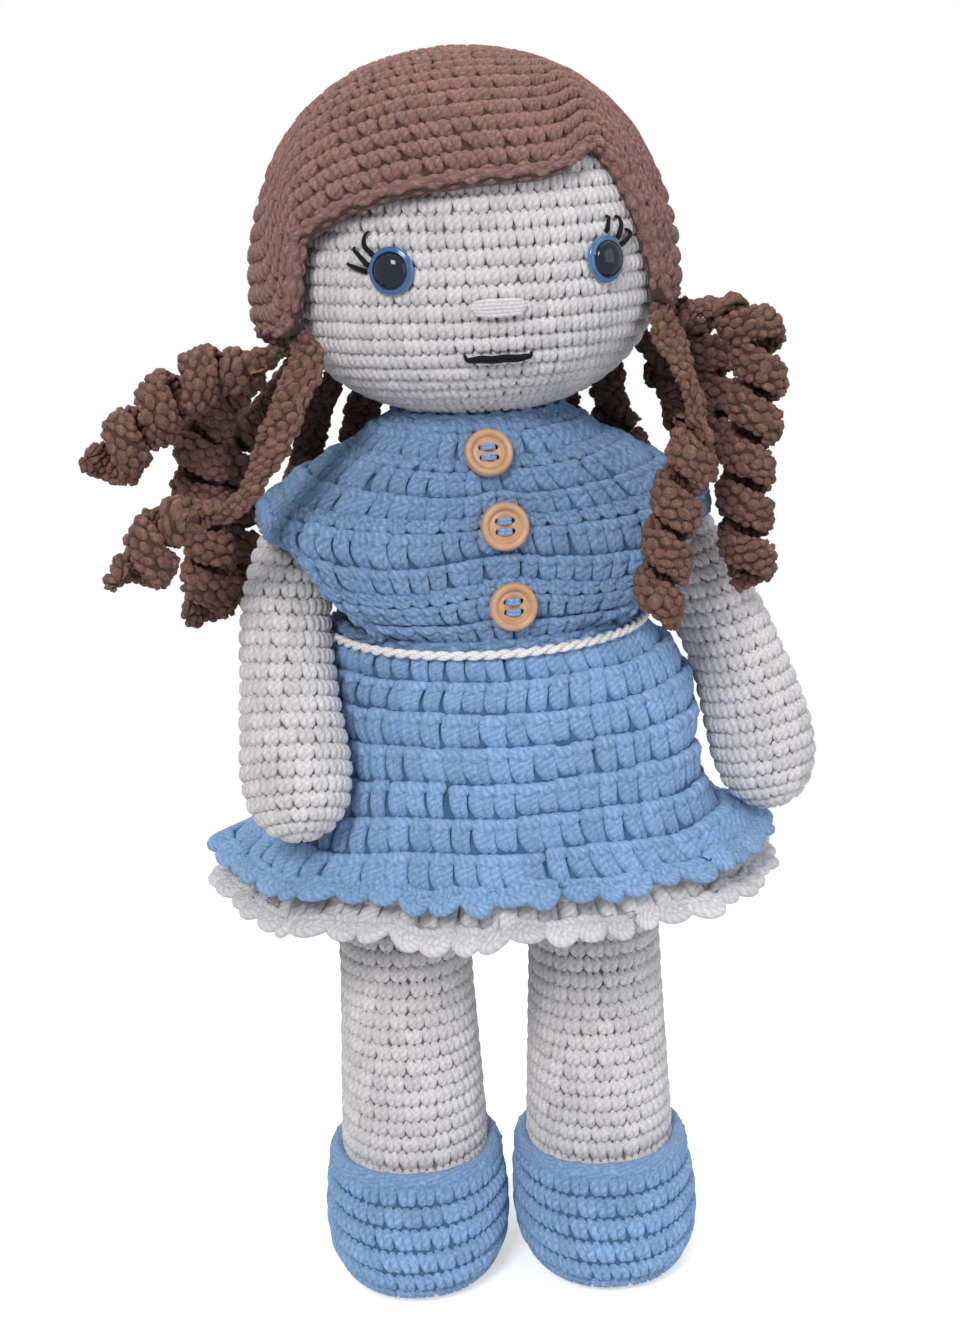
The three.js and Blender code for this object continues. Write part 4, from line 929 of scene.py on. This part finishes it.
def build_shoe(side, name):
    """A shoe's cloth goes from the middle of its sole up its wall; its layer goes on down inside."""
    sole = foot_grid(SHOE, side, np.full(16, 0.01), scale=np.linspace(0.04, 0.96, 16))
    sole[..., 2] = np.linspace(0.9, 0.5, 16)[:, None]
    wall = foot_grid(SHOE, side, np.linspace(0.2, 30.4, 60))
    wall[..., 2] = np.maximum(wall[..., 2], 0.9)
    full = np.concatenate([sole, wall])
    cloth = Cloth.outward(full, 130, 120)
    stitches = crochet(cloth, even_rows(cloth, SC_SHOE, pitch=6.1, last=0.955), seed=6, jitter=0.04)
    stitches[0][:, 2] = np.maximum(stitches[0][:, 2], 0.05)
    inner = foot_grid(LEG, side, np.linspace(30, 6.5, 30), inset=-0.9)
    inner[..., 2] = np.linspace(29.3, 5.1, 30)[:, None]
    top = (full[-1:] + inner[:1]) / 2 + np.array([0, 0, 0.3])
    layer = lidded(Cloth.outward(np.concatenate([full, top, inner]), 120, 96), 1.3, (16, 38))
    layer[0][:, 2] = np.maximum(layer[0][:, 2], 1.0)
    ring = foot_grid(SHOE, side, np.array([28.7]), inset=1.5)[0]
    way = unit(looped(ring) - (ring.mean(0) - [0, 0, 12]))
    band = edging(looped(ring), way, 2.9, 2.0, KNOB_BAND, 7, 4, 0.15, 40)
    add_sheet(name + "_shoe", name + "_shoe", layer, BLUE_BACK_SHADE, BLUE_YARN,
              {name + "_shoe_stitches": joined(stitches, band)})


def build_trunk():
    side = oval_grid(TRUNK, np.linspace(112, 245.9, 90), 96)
    base = np.repeat(side[:1], 10, 0)
    base[..., :2] *= np.linspace(0.05, 0.95, 10)[:, None, None]
    grid = np.concatenate([base, side])
    cloth = Cloth.outward(grid, 130, 96)
    # the dress hides the rest of the stitches
    add_padded("body", cloth, even_rows(cloth, SC_LIMB, pitch=4.5, last=0.9), 8, Cloth.outward(grid, 70, 72),
               1.5, (38, 50), lambda p: (p[:, 2] < 124) | (p[:, 2] > 187))


# Dress

# height, half width, half depth, power of the oval
BODICE = [[247.2, 24.2, 22.2, 2], [243, 30.5, 24.6, 2.1], [237, 40.5, 27.8, 2.4], [231, 51, 30, 2.9],
          [225, 58.8, 31.6, 3.6], [220, 61.8, 32.4, 4.2], [214, 58.8, 33, 4.8], [207, 54.6, 33.4, 5],
          [197, 47.8, 34, 3.6], [191, 43.6, 34.4, 2.2], [188.6, 42.4, 34.4, 2]]
BODICE_HIGH, BODICE_LOW = BODICE[0][0], BODICE[-1][0]
BODICE_TALL = 62.0
# lean of the posts, or None for a chain, and the row's share
BODICE_ROWS = [(0.03, 7.6), (0.14, 7.4), (None, 3.4), (0.03, 7.0), (0.14, 7.8), (None, 3.4), (0.03, 7.0),
               (0.14, 7.6), (None, 3.3), (0.03, 6.4), (None, 3.2)]
# the armholes' ranges of y and z, the radius of their corners, and how far out they begin
ARMHOLE = ((-26.5, 24), (189.8, 218.6))
CORNER = 7
SIDE_X = 30
# height, half width, half depth, drop at the front, half width and half thickness of the edge
BODICE_EDGES = [(246.6, 22.6, 20.7, 0, 2.3, 1.8), (188.6, 41.4, 33.5, 1.0, 2.6, 1.8)]
SKIRT = [[187.9, 42.4, 34.4], [183, 47.5, 37], [178, 53, 39.3], [168, 59, 42.2], [155, 62, 44.6],
         [142, 64, 46.6], [133, 67.2, 48.7], [127.5, 73, 51.4], [121.5, 81.5, 55.2]]
WAIST, HEM = SKIRT[0][0], SKIRT[-1][0]
LINING_GAP = 4
PETTICOAT = [[z, a - LINING_GAP, b - LINING_GAP] for z, a, b in SKIRT if 133 <= z <= 168] + [
    [125, 65, 46.2], [118.8, 68.8, 48.8], [115.2, 74.6, 52.2], [112, 80.5, 55.2]]
LINING_HIGH, LINING_HEM = PETTICOAT[0][0], PETTICOAT[-1][0]
FOLDS = 8
# dents of the skirt: direction, depth, height, spread in degrees, spread in height
DENTS = [(211, 10.4, 160, 30, 24), (359, 5.8, 146, 18, 20)]
SCALLOP_TALL = 6.4


def in_armhole(points, margin=0.0):
    """Which points lie in an armhole, made smaller by a margin."""
    away = [np.maximum(0, np.maximum(a + margin + CORNER - v, v - (b - margin - CORNER)))
            for v, (a, b) in zip(points.T[1:], ARMHOLE)]
    return (np.hypot(*away) < CORNER) & (np.abs(points[:, 0]) > SIDE_X)


def sleeve_ring(near):
    """The line round an armhole, laid on the points near it."""
    (front, back), (low, high) = ((a + CORNER, b - CORNER) for a, b in ARMHOLE)
    line = []
    for y, z, start in ((back, low, -90), (back, high, 0), (front, high, 90), (front, low, 180)):
        for a in np.radians(start + 15 * np.arange(7)):
            line.append((y + CORNER * math.cos(a), z + CORNER * math.sin(a), 0.0))
    ring = []
    for y, z, _ in Cloth.spread(np.array([looped(np.array(line))]), 110, False)[0]:
        away = (near[:, 1] - y) ** 2 + (near[:, 2] - z) ** 2
        best = np.argsort(away)[:5]
        weight = 1 / (away[best] + 0.1)
        ring.append((np.sum(near[best, 0] * weight) / weight.sum(), y, z))
    ring = np.array(ring)
    ring[:, 0] = blurred(ring[:, 0], 8)
    return ring


def build_bodice():
    heights = np.linspace(BODICE_LOW, BODICE_HIGH, 120)
    grid = oval_grid(BODICE, heights, 160)
    cloth = Cloth.outward(grid, 150, 240)
    total = sum(share for _, share in BODICE_ROWS)
    rows, at = [], 0.0
    for i, (lean, share) in enumerate(BODICE_ROWS):
        height, tall = share * BODICE_TALL / total, share / total
        stitch = chain_top(4.7, height) if lean is None else post_block(4.9, height, lean)
        rows.append((at + tall / 2, tall, stitch, None, (0.37 * i) % 1.0))
        at += tall
    stitches = crochet(cloth, rows, lambda p: ~in_armhole(p, -1.2), seed=9, jitter=0.1)
    inner = oval_grid(BODICE, heights, 160, 1.6).reshape(-1, 3)
    trims = []
    for side in (-1, 1):
        ring = sleeve_ring(inner[inner[:, 0] * side > SIDE_X])
        way = np.tile([side * 1.0, 0, 0], (len(ring), 1))
        trims.append(edging(ring, way, 1.9, 2.2, KNOB_EDGE, 10 + side, 4, 0.6, 30))
    t = np.linspace(0, 2 * np.pi, 241)
    for z, a, b, drop, wide, thick in BODICE_EDGES:
        ring = np.stack([a * np.cos(t), b * np.sin(t), z + drop * np.minimum(0, np.sin(t))], -1)
        trims.append(edging(ring, spokes(t), wide, thick, KNOB_EDGE, 30, 4, 0.6, 60))
    layer = shell(Cloth(grid, 130, 220), 1.5, 2.9, (7, 60), lambda p: ~in_armhole(p))
    add_sheet("bodice", "bodice", layer, BLUE_BACK_SHADE, BODICE_SHADED_YARN,
              {"bodice_stitches": stitches, "sleeve_edges": joined(*trims)})


def skirt_grid(table, low, high, rows):
    """The skirt or the petticoat between two heights, with its folds and dents."""
    heights = np.linspace(low, high, rows)
    a, b = along(table, heights).T[..., None]
    heights, t = heights[:, None], turns(256)[None]
    deep = np.zeros((rows, t.size))
    for toward, depth, z, spread, rise in DENTS:
        off = (np.degrees(t) - toward + 540) % 360 - 180
        deep += depth * np.exp(-(off / spread) ** 2) * np.exp(-((heights - z) / rise) ** 2)
    deep *= smooth(WAIST, 179, heights)
    out = 1.2 * smooth(150, HEM, heights) * np.cos(FOLDS * t) - deep
    z = heights + 2 * smooth(133, HEM, heights) * np.cos(t) ** 2
    points = np.stack([(a + out) * np.cos(t), (b + out) * np.sin(t), z], -1)
    return turned(points, LOWER_TURN * smooth(WAIST, 168, heights))


def ruffled_hem(cloth, v, wide, seed, amount):
    """A row of scallops, moved in and out and up and down in soft waves."""
    row = (v, SCALLOP_TALL / cloth.tall, scallop(wide, SCALLOP_TALL), None, 0.0)
    verts, faces, marks = crochet(cloth, [row], seed=seed, jitter=0.1)
    t = np.arctan2(verts[:, 1], verts[:, 0])
    wave = np.sin(9 * t + 1) + 0.6 * np.sin(17 * t + 2) + 0.5 * np.sin(23 * t)
    lift = np.sin(7 * t) + 0.7 * np.sin(19 * t + 1)
    verts += spokes(t) * (wave * amount * 0.6)[:, None]
    verts[:, 2] += lift * amount * 0.45
    return verts, faces, marks


def build_skirt():
    cloth = Cloth.outward(skirt_grid(SKIRT, HEM, WAIST, 130), 150, 256)
    first, count = 0.085, 7
    tall = (1 - first) / count
    rows = []
    for i in range(count):
        number, v = 60 - 2 * i, first + (i + 0.5) * tall
        stitch = post_block(cloth.round_at(v) / number, cloth.tall * tall, 0.1)
        rows.append((v, tall, stitch, number, (0.31 * i) % 1.0))
    yarn = joined(crochet(cloth, rows, seed=12, jitter=0.1), ruffled_hem(cloth, 0.045, 8.8, 13, 1.9))
    layer = shell(Cloth(skirt_grid(SKIRT, HEM + 4.5, WAIST, 130), 110, 200), 1.5, 2.9, (7, 70))
    add_sheet("skirt", "skirt", layer, BLUE_BACK_SHADE, BLUE_YARN, {"skirt_stitches": yarn})


def build_petticoat():
    cloth = Cloth.outward(skirt_grid(PETTICOAT, LINING_HEM, LINING_HIGH, 120), 150, 256)
    tall = 8.8 / cloth.tall
    rows = [(0.09 + (i + 0.5) * tall, tall, post_block(5.4, 8.8), None, (0.31 * i) % 1.0) for i in range(4)]
    yarn = joined(crochet(cloth, rows, seed=14, jitter=0.06), ruffled_hem(cloth, 0.035, 8.6, 15, 2.1))
    layer = shell(Cloth(skirt_grid(PETTICOAT, LINING_HEM + 3.5, LINING_HIGH, 120), 110, 200), 1.4, 2.6, (6, 70))
    add_sheet("petticoat", "petticoat", layer, LINING_BACK_SHADE, CREAM_YARN, {"petticoat_stitches": yarn})


def build_belt():
    t = np.linspace(0, 2 * np.pi, 421)
    z = 188.4 - 1.8 * np.maximum(0, -np.sin(t))
    middle = np.stack([45 * np.cos(t), 36.8 * np.sin(t), z], -1)
    plies = []
    for phase in (0, math.pi):
        a = (34 * t + phase)[:, None]
        path = middle + 0.62 * (spokes(t) * np.cos(a) + np.array([0, 0, 1.0]) * np.sin(a))
        plies.append(wire(path, 0.74, 0.5))
    add_piece("belt_twist", joined(*plies), WHITE_YARN, ["belt_cord"])


# Buttons, eyes and face threads

# name, x, height and backward tilt in degrees
BUTTONS = [("top", -2.6, 238.2, 27), ("middle", 0, 220.2, 8), ("bottom", 1.2, 199, 4)]
BUTTON_PROFILE = [[0, 0], [5.3, 0], [6.35, 0.5], [6.55, 1.7], [6.2, 2.9], [5.5, 3.2], [4.75, 2.9],
                  [4.2, 2.0], [3.9, 1.85], [3.4, 2.1], [2.6, 1.9], [0, 1.65]]
HOLE_X, HOLE_Y = 1.9, 1.4
EYE_X, EYE_Z = 27.0, 288.5
EYE_PROFILE = [(0, -0.4), (5.2, -0.4), (5.8, -0.1), (6.0, 0.25), (6.0, 0.55), (5.85, 0.85), (5.55, 1.05),
               (5.2, 1.1), (4.95, 1.15), (4.75, 1.3)]
LASHES = [[(-30.72, 291.92), (-32.82, 294.85), (-32.12, 297.99)], [(-32.24, 289.72), (-35.6, 294.11)],
          [(-32.79, 288.24), (-37.23, 290.17)], [(27.91, 295.12), (28.89, 298.97)],
          [(31.17, 293.1), (32.42, 296.45), (31.69, 298.73)],
          [(32.33, 291.5), (35.16, 293.95), (33.95, 295.31)]]


def placed(mesh, point, direction):
    """A mesh turned so that its +Z faces a direction, and moved to a point."""
    turn = Vector((0, 0, 1)).rotation_difference(Vector(unit(direction).tolist())).to_matrix()
    verts, faces, marks = mesh
    return verts @ np.array(turn).T + point, faces, marks


def lathe(profile, segments):
    """A closed body of revolution about Z. Its first and last profile points are on the axis."""
    profile = np.asarray(profile, float)
    radius, z = profile[1:-1].T
    verts = rings(radius, radius, z, segments).reshape(-1, 3)
    count = len(verts)
    low, high = lids((count, count + 1), (0, count - segments), segments)
    verts = np.vstack([verts, [0, 0, profile[0, 1]], [0, 0, profile[-1, 1]]])
    faces = np.vstack([quads(len(z), segments), low, np.roll(high, 1, 1)])
    return verts, faces, np.zeros((len(verts), 3))


def rounded(profile):
    """A profile with its corners cut twice, so that its edges are round."""
    p = np.asarray(profile, float)
    for _ in range(2):
        cut = [[a * 0.75 + b * 0.25, a * 0.25 + b * 0.75] for a, b in zip(p[:-1], p[1:])]
        p = np.vstack([p[:1], *cut, p[-1:]])
    return p


def build_buttons():
    for name, x, z, tilt in BUTTONS:
        angle = math.radians(tilt)
        way = np.array([0, -math.cos(angle), math.sin(angle)])
        point = np.array([x, -along(BODICE, [z])[0, 1], z]) + way * 0.9
        disc = placed(lathe(rounded(BUTTON_PROFILE), 72), point, way)
        piece = add_piece(name + "_button_disc", disc, WOOD, [name + "_button"])
        verts, faces, marks = lathe([[0, -3], [0.8, -3], [0.8, 6], [0, 6]], 20)
        holes = [placed((verts + [hole_x, hole_y, 0], faces, marks), point, way)
                 for hole_x in (-HOLE_X, HOLE_X) for hole_y in (-HOLE_Y, HOLE_Y)]
        cutter = add_piece(name + "_cutter", joined(*holes), WOOD._replace(slot=None))
        cut = piece.modifiers.new("holes", "BOOLEAN")
        cut.operation, cut.object, cut.solver = "DIFFERENCE", cutter, "EXACT"
        bpy.context.view_layer.update()
        done = bpy.data.meshes.new_from_object(piece.evaluated_get(bpy.context.evaluated_depsgraph_get()))
        piece.modifiers.clear()
        piece.data = done
        bpy.data.objects.remove(cutter)
        s, bars = np.linspace(-1, 1, 15), []
        for y in (-HOLE_Y, HOLE_Y):
            for aside in (-0.42, 0.42):
                path = np.stack([1.75 * s, y + aside + 0 * s, 2.6 - 2.6 * np.abs(s) ** 5], -1)
                bars.append(wire(path, 0.55, 0.6))
        back = np.stack([np.linspace(-2, 2, 9), np.zeros(9), np.full(9, -0.4)], -1)
        bars.append(wire(back, 0.45, 0.6))
        add_piece(name + "_button_yarn", placed(joined(*bars), point, way), BLUE_YARN,
                  [name + "_button_thread"])


def build_eyes():
    dome = [(4.65 * math.cos(a), 1.3 + 2.3 * math.sin(a)) for a in np.linspace(0.1, math.pi / 2, 14)][:-1]
    mesh = lathe(EYE_PROFILE + dome + [(0, 3.6)], 64)
    radius = np.hypot(mesh[0][:, 0], mesh[0][:, 1])[mesh[1]].mean(1)
    high = mesh[0][:, 2][mesh[1]].mean(1)
    parts = np.where((radius < 4.72) & (high > 0.9), 2, np.where(radius > 5.7, 1, 0))
    stem = lathe([(0, -9), (1.9, -9), (1.9, -0.2), (0, -0.2)], 24)
    parts = np.concatenate([parts, np.zeros(len(stem[1]), int)])
    for name, side in SIDES.items():
        spot = face_spot(side * EYE_X, EYE_Z)
        way = unit(face_spot(side * EYE_X, EYE_Z, 1.0) - spot)
        add_piece(name + "_eye_dome", placed(joined(mesh, stem), spot + way * 0.5, way),
                  [EYE_RIM, EYE_EDGE, EYE_DARK], [name + "_eye"], parts=parts)
        paint(name + "_eye_washer", WASHER_LOOK)


def paint(node, look):
    """A solid that stays takes a look of the scene."""
    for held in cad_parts[node].material_slots:
        held.material = look.material


def ending(value, start, length):
    """How far a value is past a start, as a share of a length."""
    return np.clip((value - start) / length, 0, 1)


def build_face_threads():
    lashes, share = [], np.linspace(0, 1, 22)
    lift = 0.75 - 1.2 * ending(share, 0.86, 0.14) ** 2 - 0.5 * ending(-share, -0.1, 0.1)
    for points in LASHES:
        flat = np.array([(x, z, 0) for x, z in points])
        line = Curve(flat if len(flat) > 2 else np.vstack([flat[0], (flat[0] + flat[1]) / 2, flat[1]]), 60)
        x, z, _ = line.at(share).T
        lashes.append(wire(face_spot(x, z, lift), 0.68 * (1 - 0.5 * share ** 2), 0.5))
    add_piece("eyelashes", joined(*lashes), BLACK_THREAD)
    s, mouth, nose = np.linspace(-1, 1, 41), [], []
    lift = 0.75 - 1.9 * ending(np.abs(s), 0.9, 0.1) ** 2
    for k in (-0.42, 0.42):
        z = 265.7 + 0.15 * s * s + k * (1 - s ** 4) + 0.12 * np.sin(9 * s)
        mouth.append(wire(face_spot(-1.4 + 8.7 * s, z, lift), 0.62 * (1 - 0.3 * s ** 4), 0.4 + k))
    add_piece("mouth_threads", joined(*mouth), BLACK_THREAD, ["mouth_stitch"])
    lift = 0.85 + 0.4 * (1 - s * s) - 3.0 * ending(np.abs(s), 0.82, 0.18) ** 2
    for i in range(5):
        x = -1.7 + (7.4 - 0.5 * abs(i - 2)) * s
        z = 278.7 + 0.86 * (i - 2) * (1 - 0.45 * s ** 4) + 0.05 * np.sin(5 * s + i)
        nose.append(wire(face_spot(x, z, lift), 0.62, 0.7 + 0.08 * i))
    add_piece("nose_threads", joined(*nose), CREAM_YARN, ["nose_stitches"])


# Curls. Each: name, azimuth of its root in degrees from the front, radius, straight length, route

CURLS = [
    ("right_curl_1", -61, 5.2, 58, (-53, -34, 259), (-57.5, -38.5, 250), (-63, -40, 241), (-67.3, -41, 234),
     (-73, -42, 230.6), (-79.5, -42, 232), (-86, -42, 230.5), (-91, -41.5, 223), (-97, -40, 213)),
    ("right_curl_2", -78, 5.6, 9, (-62, -14, 265.5), (-72.6, -15, 262.5), (-83, -17, 257.5),
     (-93, -18, 248.5), (-102, -19, 239.5)),
    ("right_curl_3", -95, 5.4, 8, (-64, 4.5, 259), (-73, 4.2, 249), (-76.5, 4, 237), (-76, 4, 224),
     (-75.5, 4, 210), (-77.5, 4, 193)),
    ("right_curl_4", -112, 5, 17, (-56, 22, 250), (-63, 24, 238), (-67, 27, 226), (-66, 28.5, 213),
     (-65.5, 28, 195)),
    ("back_curl_1", -132, 5, 28, (-40.5, 34, 245), (-43, 37.5, 236), (-45.5, 42, 220), (-46, 44.5, 205)),
    ("back_curl_2", -149, 5, 28, (-26.5, 42.5, 243), (-28, 45, 232), (-28.5, 46.5, 215), (-28, 47, 200)),
    ("back_curl_3", -168, 5, 22, (-10.5, 47, 244), (-10.5, 49, 230), (-10, 49, 212), (-9, 49, 191)),
    ("back_curl_4", 165, 5, 26, (12, 46.5, 244), (12.5, 48.5, 230), (13.5, 49, 214), (14.5, 49, 197)),
    ("back_curl_5", 140, 5, 26, (30.5, 39, 244), (33, 43, 231), (35, 46, 213), (34.5, 46.5, 195)),
    ("back_curl_6", 121, 5, 24, (43, 28.5, 247), (48, 33.5, 234), (51, 38.5, 219), (51.5, 41, 205)),
    ("left_curl_4", 107, 5.2, 15, (56.5, 18, 254), (64, 22.5, 243), (68, 26, 232), (69, 27.5, 221)),
    ("left_curl_3", 94, 5.2, 9, (61, 5, 266), (67.5, 6, 256), (70, 7, 244), (69.5, 7.6, 230)),
    ("left_curl_2", 76, 5.6, 12, (59.5, -14.2, 272), (67.5, -17, 271), (73.2, -19, 264), (73, -20.5, 251),
     (69.8, -22, 235), (68.3, -24, 219), (68.3, -26, 199)),
    ("left_curl_1", 58, 4.8, 30, (47.5, -34, 262), (50.5, -40, 250), (49, -43, 240), (44.5, -43.8, 228),
     (41.5, -43.8, 214), (37.5, -43.8, 195)),
]
CURL_PITCH = 12.4
ROOT_OUT, ROOT_DOWN = 3.7, 3.7
HALF_WIDE, HALF_THICK = 4.9, 2.5


def curl_path(azimuth, radius, straight, route):
    """The middle of a curl's cord, its thin direction and how far it is wound, every 0.5 mm."""
    t = math.radians(azimuth)
    edge = np.arctan2(-math.cos(t), math.sin(t))
    shift = CAP_SHIFT / 2
    _, last = cap_spots(np.array(1.0), edge, ROOT_OUT, shift)
    root = cap_spots(last, edge, ROOT_OUT, shift)[0] - np.array([0, 0, ROOT_DOWN])
    behind = edge + math.copysign(0.14, azimuth) if abs(azimuth) < 70 else edge
    tuck = cap_spots(last - 0.05, behind, ROOT_OUT - 1, shift)[0]
    line = Curve([tuck, root, *route], 1600)
    places = np.append(np.arange(0, line.length, 0.5)[:-1], line.length)
    centre, run = line.at(places / line.length), line.run(places / line.length)
    wound = np.maximum(0, places - straight - np.linalg.norm(root - tuck)) / CURL_PITCH
    tight = smooth(0, 0.7, wound)
    out = np.array([root[0], root[1], 0.0])
    thin = np.empty_like(run)
    for i, angle in enumerate(-2 * math.pi * wound):
        out = unit(out - run[i] * np.dot(out, run[i]))
        thin[i] = out * math.cos(angle) + np.cross(run[i], out) * math.sin(angle)
    return centre + thin * (radius * tight)[:, None], thin, tight


def build_curls():
    for number, (name, azimuth, radius, straight, *route) in enumerate(CURLS):
        middle, thin, tight = curl_path(azimuth, radius, straight, route)
        s = lengths_to(middle)
        even = np.linspace(0, s[-1], int(s[-1] / 0.8))
        path, way = resampled(middle, s, even), unit(resampled(thin, s, even))
        if abs(azimuth) < 90:
            share = 0.55 * (1 - smooth(straight * 0.55, straight, even))[:, None]
            way = unit(way * (1 - share) + np.array([0, -1.0, 0]) * share)
        strap = 7.4 if abs(azimuth) > 110 else 5.4
        wide = np.interp(even, s, strap + (HALF_WIDE - strap) * tight)
        end = (1 - np.clip(1 - (s[-1] - even) / 3.0, 0, 0.97) ** 3) ** 0.5
        root = 0.55 + 0.45 * smooth(3.0, 12.0, even)
        cloth, stitches = cord(path, way, wide * end * root, HALF_THICK * end * root, KNOB_CURL, 20 + number,
                               7, 0.17)
        core = add_piece(name + "_cord", lidded(cloth, 0.9, (s[-1] / 3.8, 7)), BROWN_BACK_SHADE, [name], name)
        knots = add_piece(name + "_stitches", stitches, CURL_SHADED_YARN, body=name)


build_head()
build_cap()
build_curls()
build_trunk()
build_arms()
build_legs()
build_bodice()
build_skirt()
build_petticoat()
build_belt()
build_buttons()
build_eyes()
build_face_threads()
paint("shoulder_thread", CREAM_YARN)

bpy.context.scene.view_settings.view_transform = "Standard"
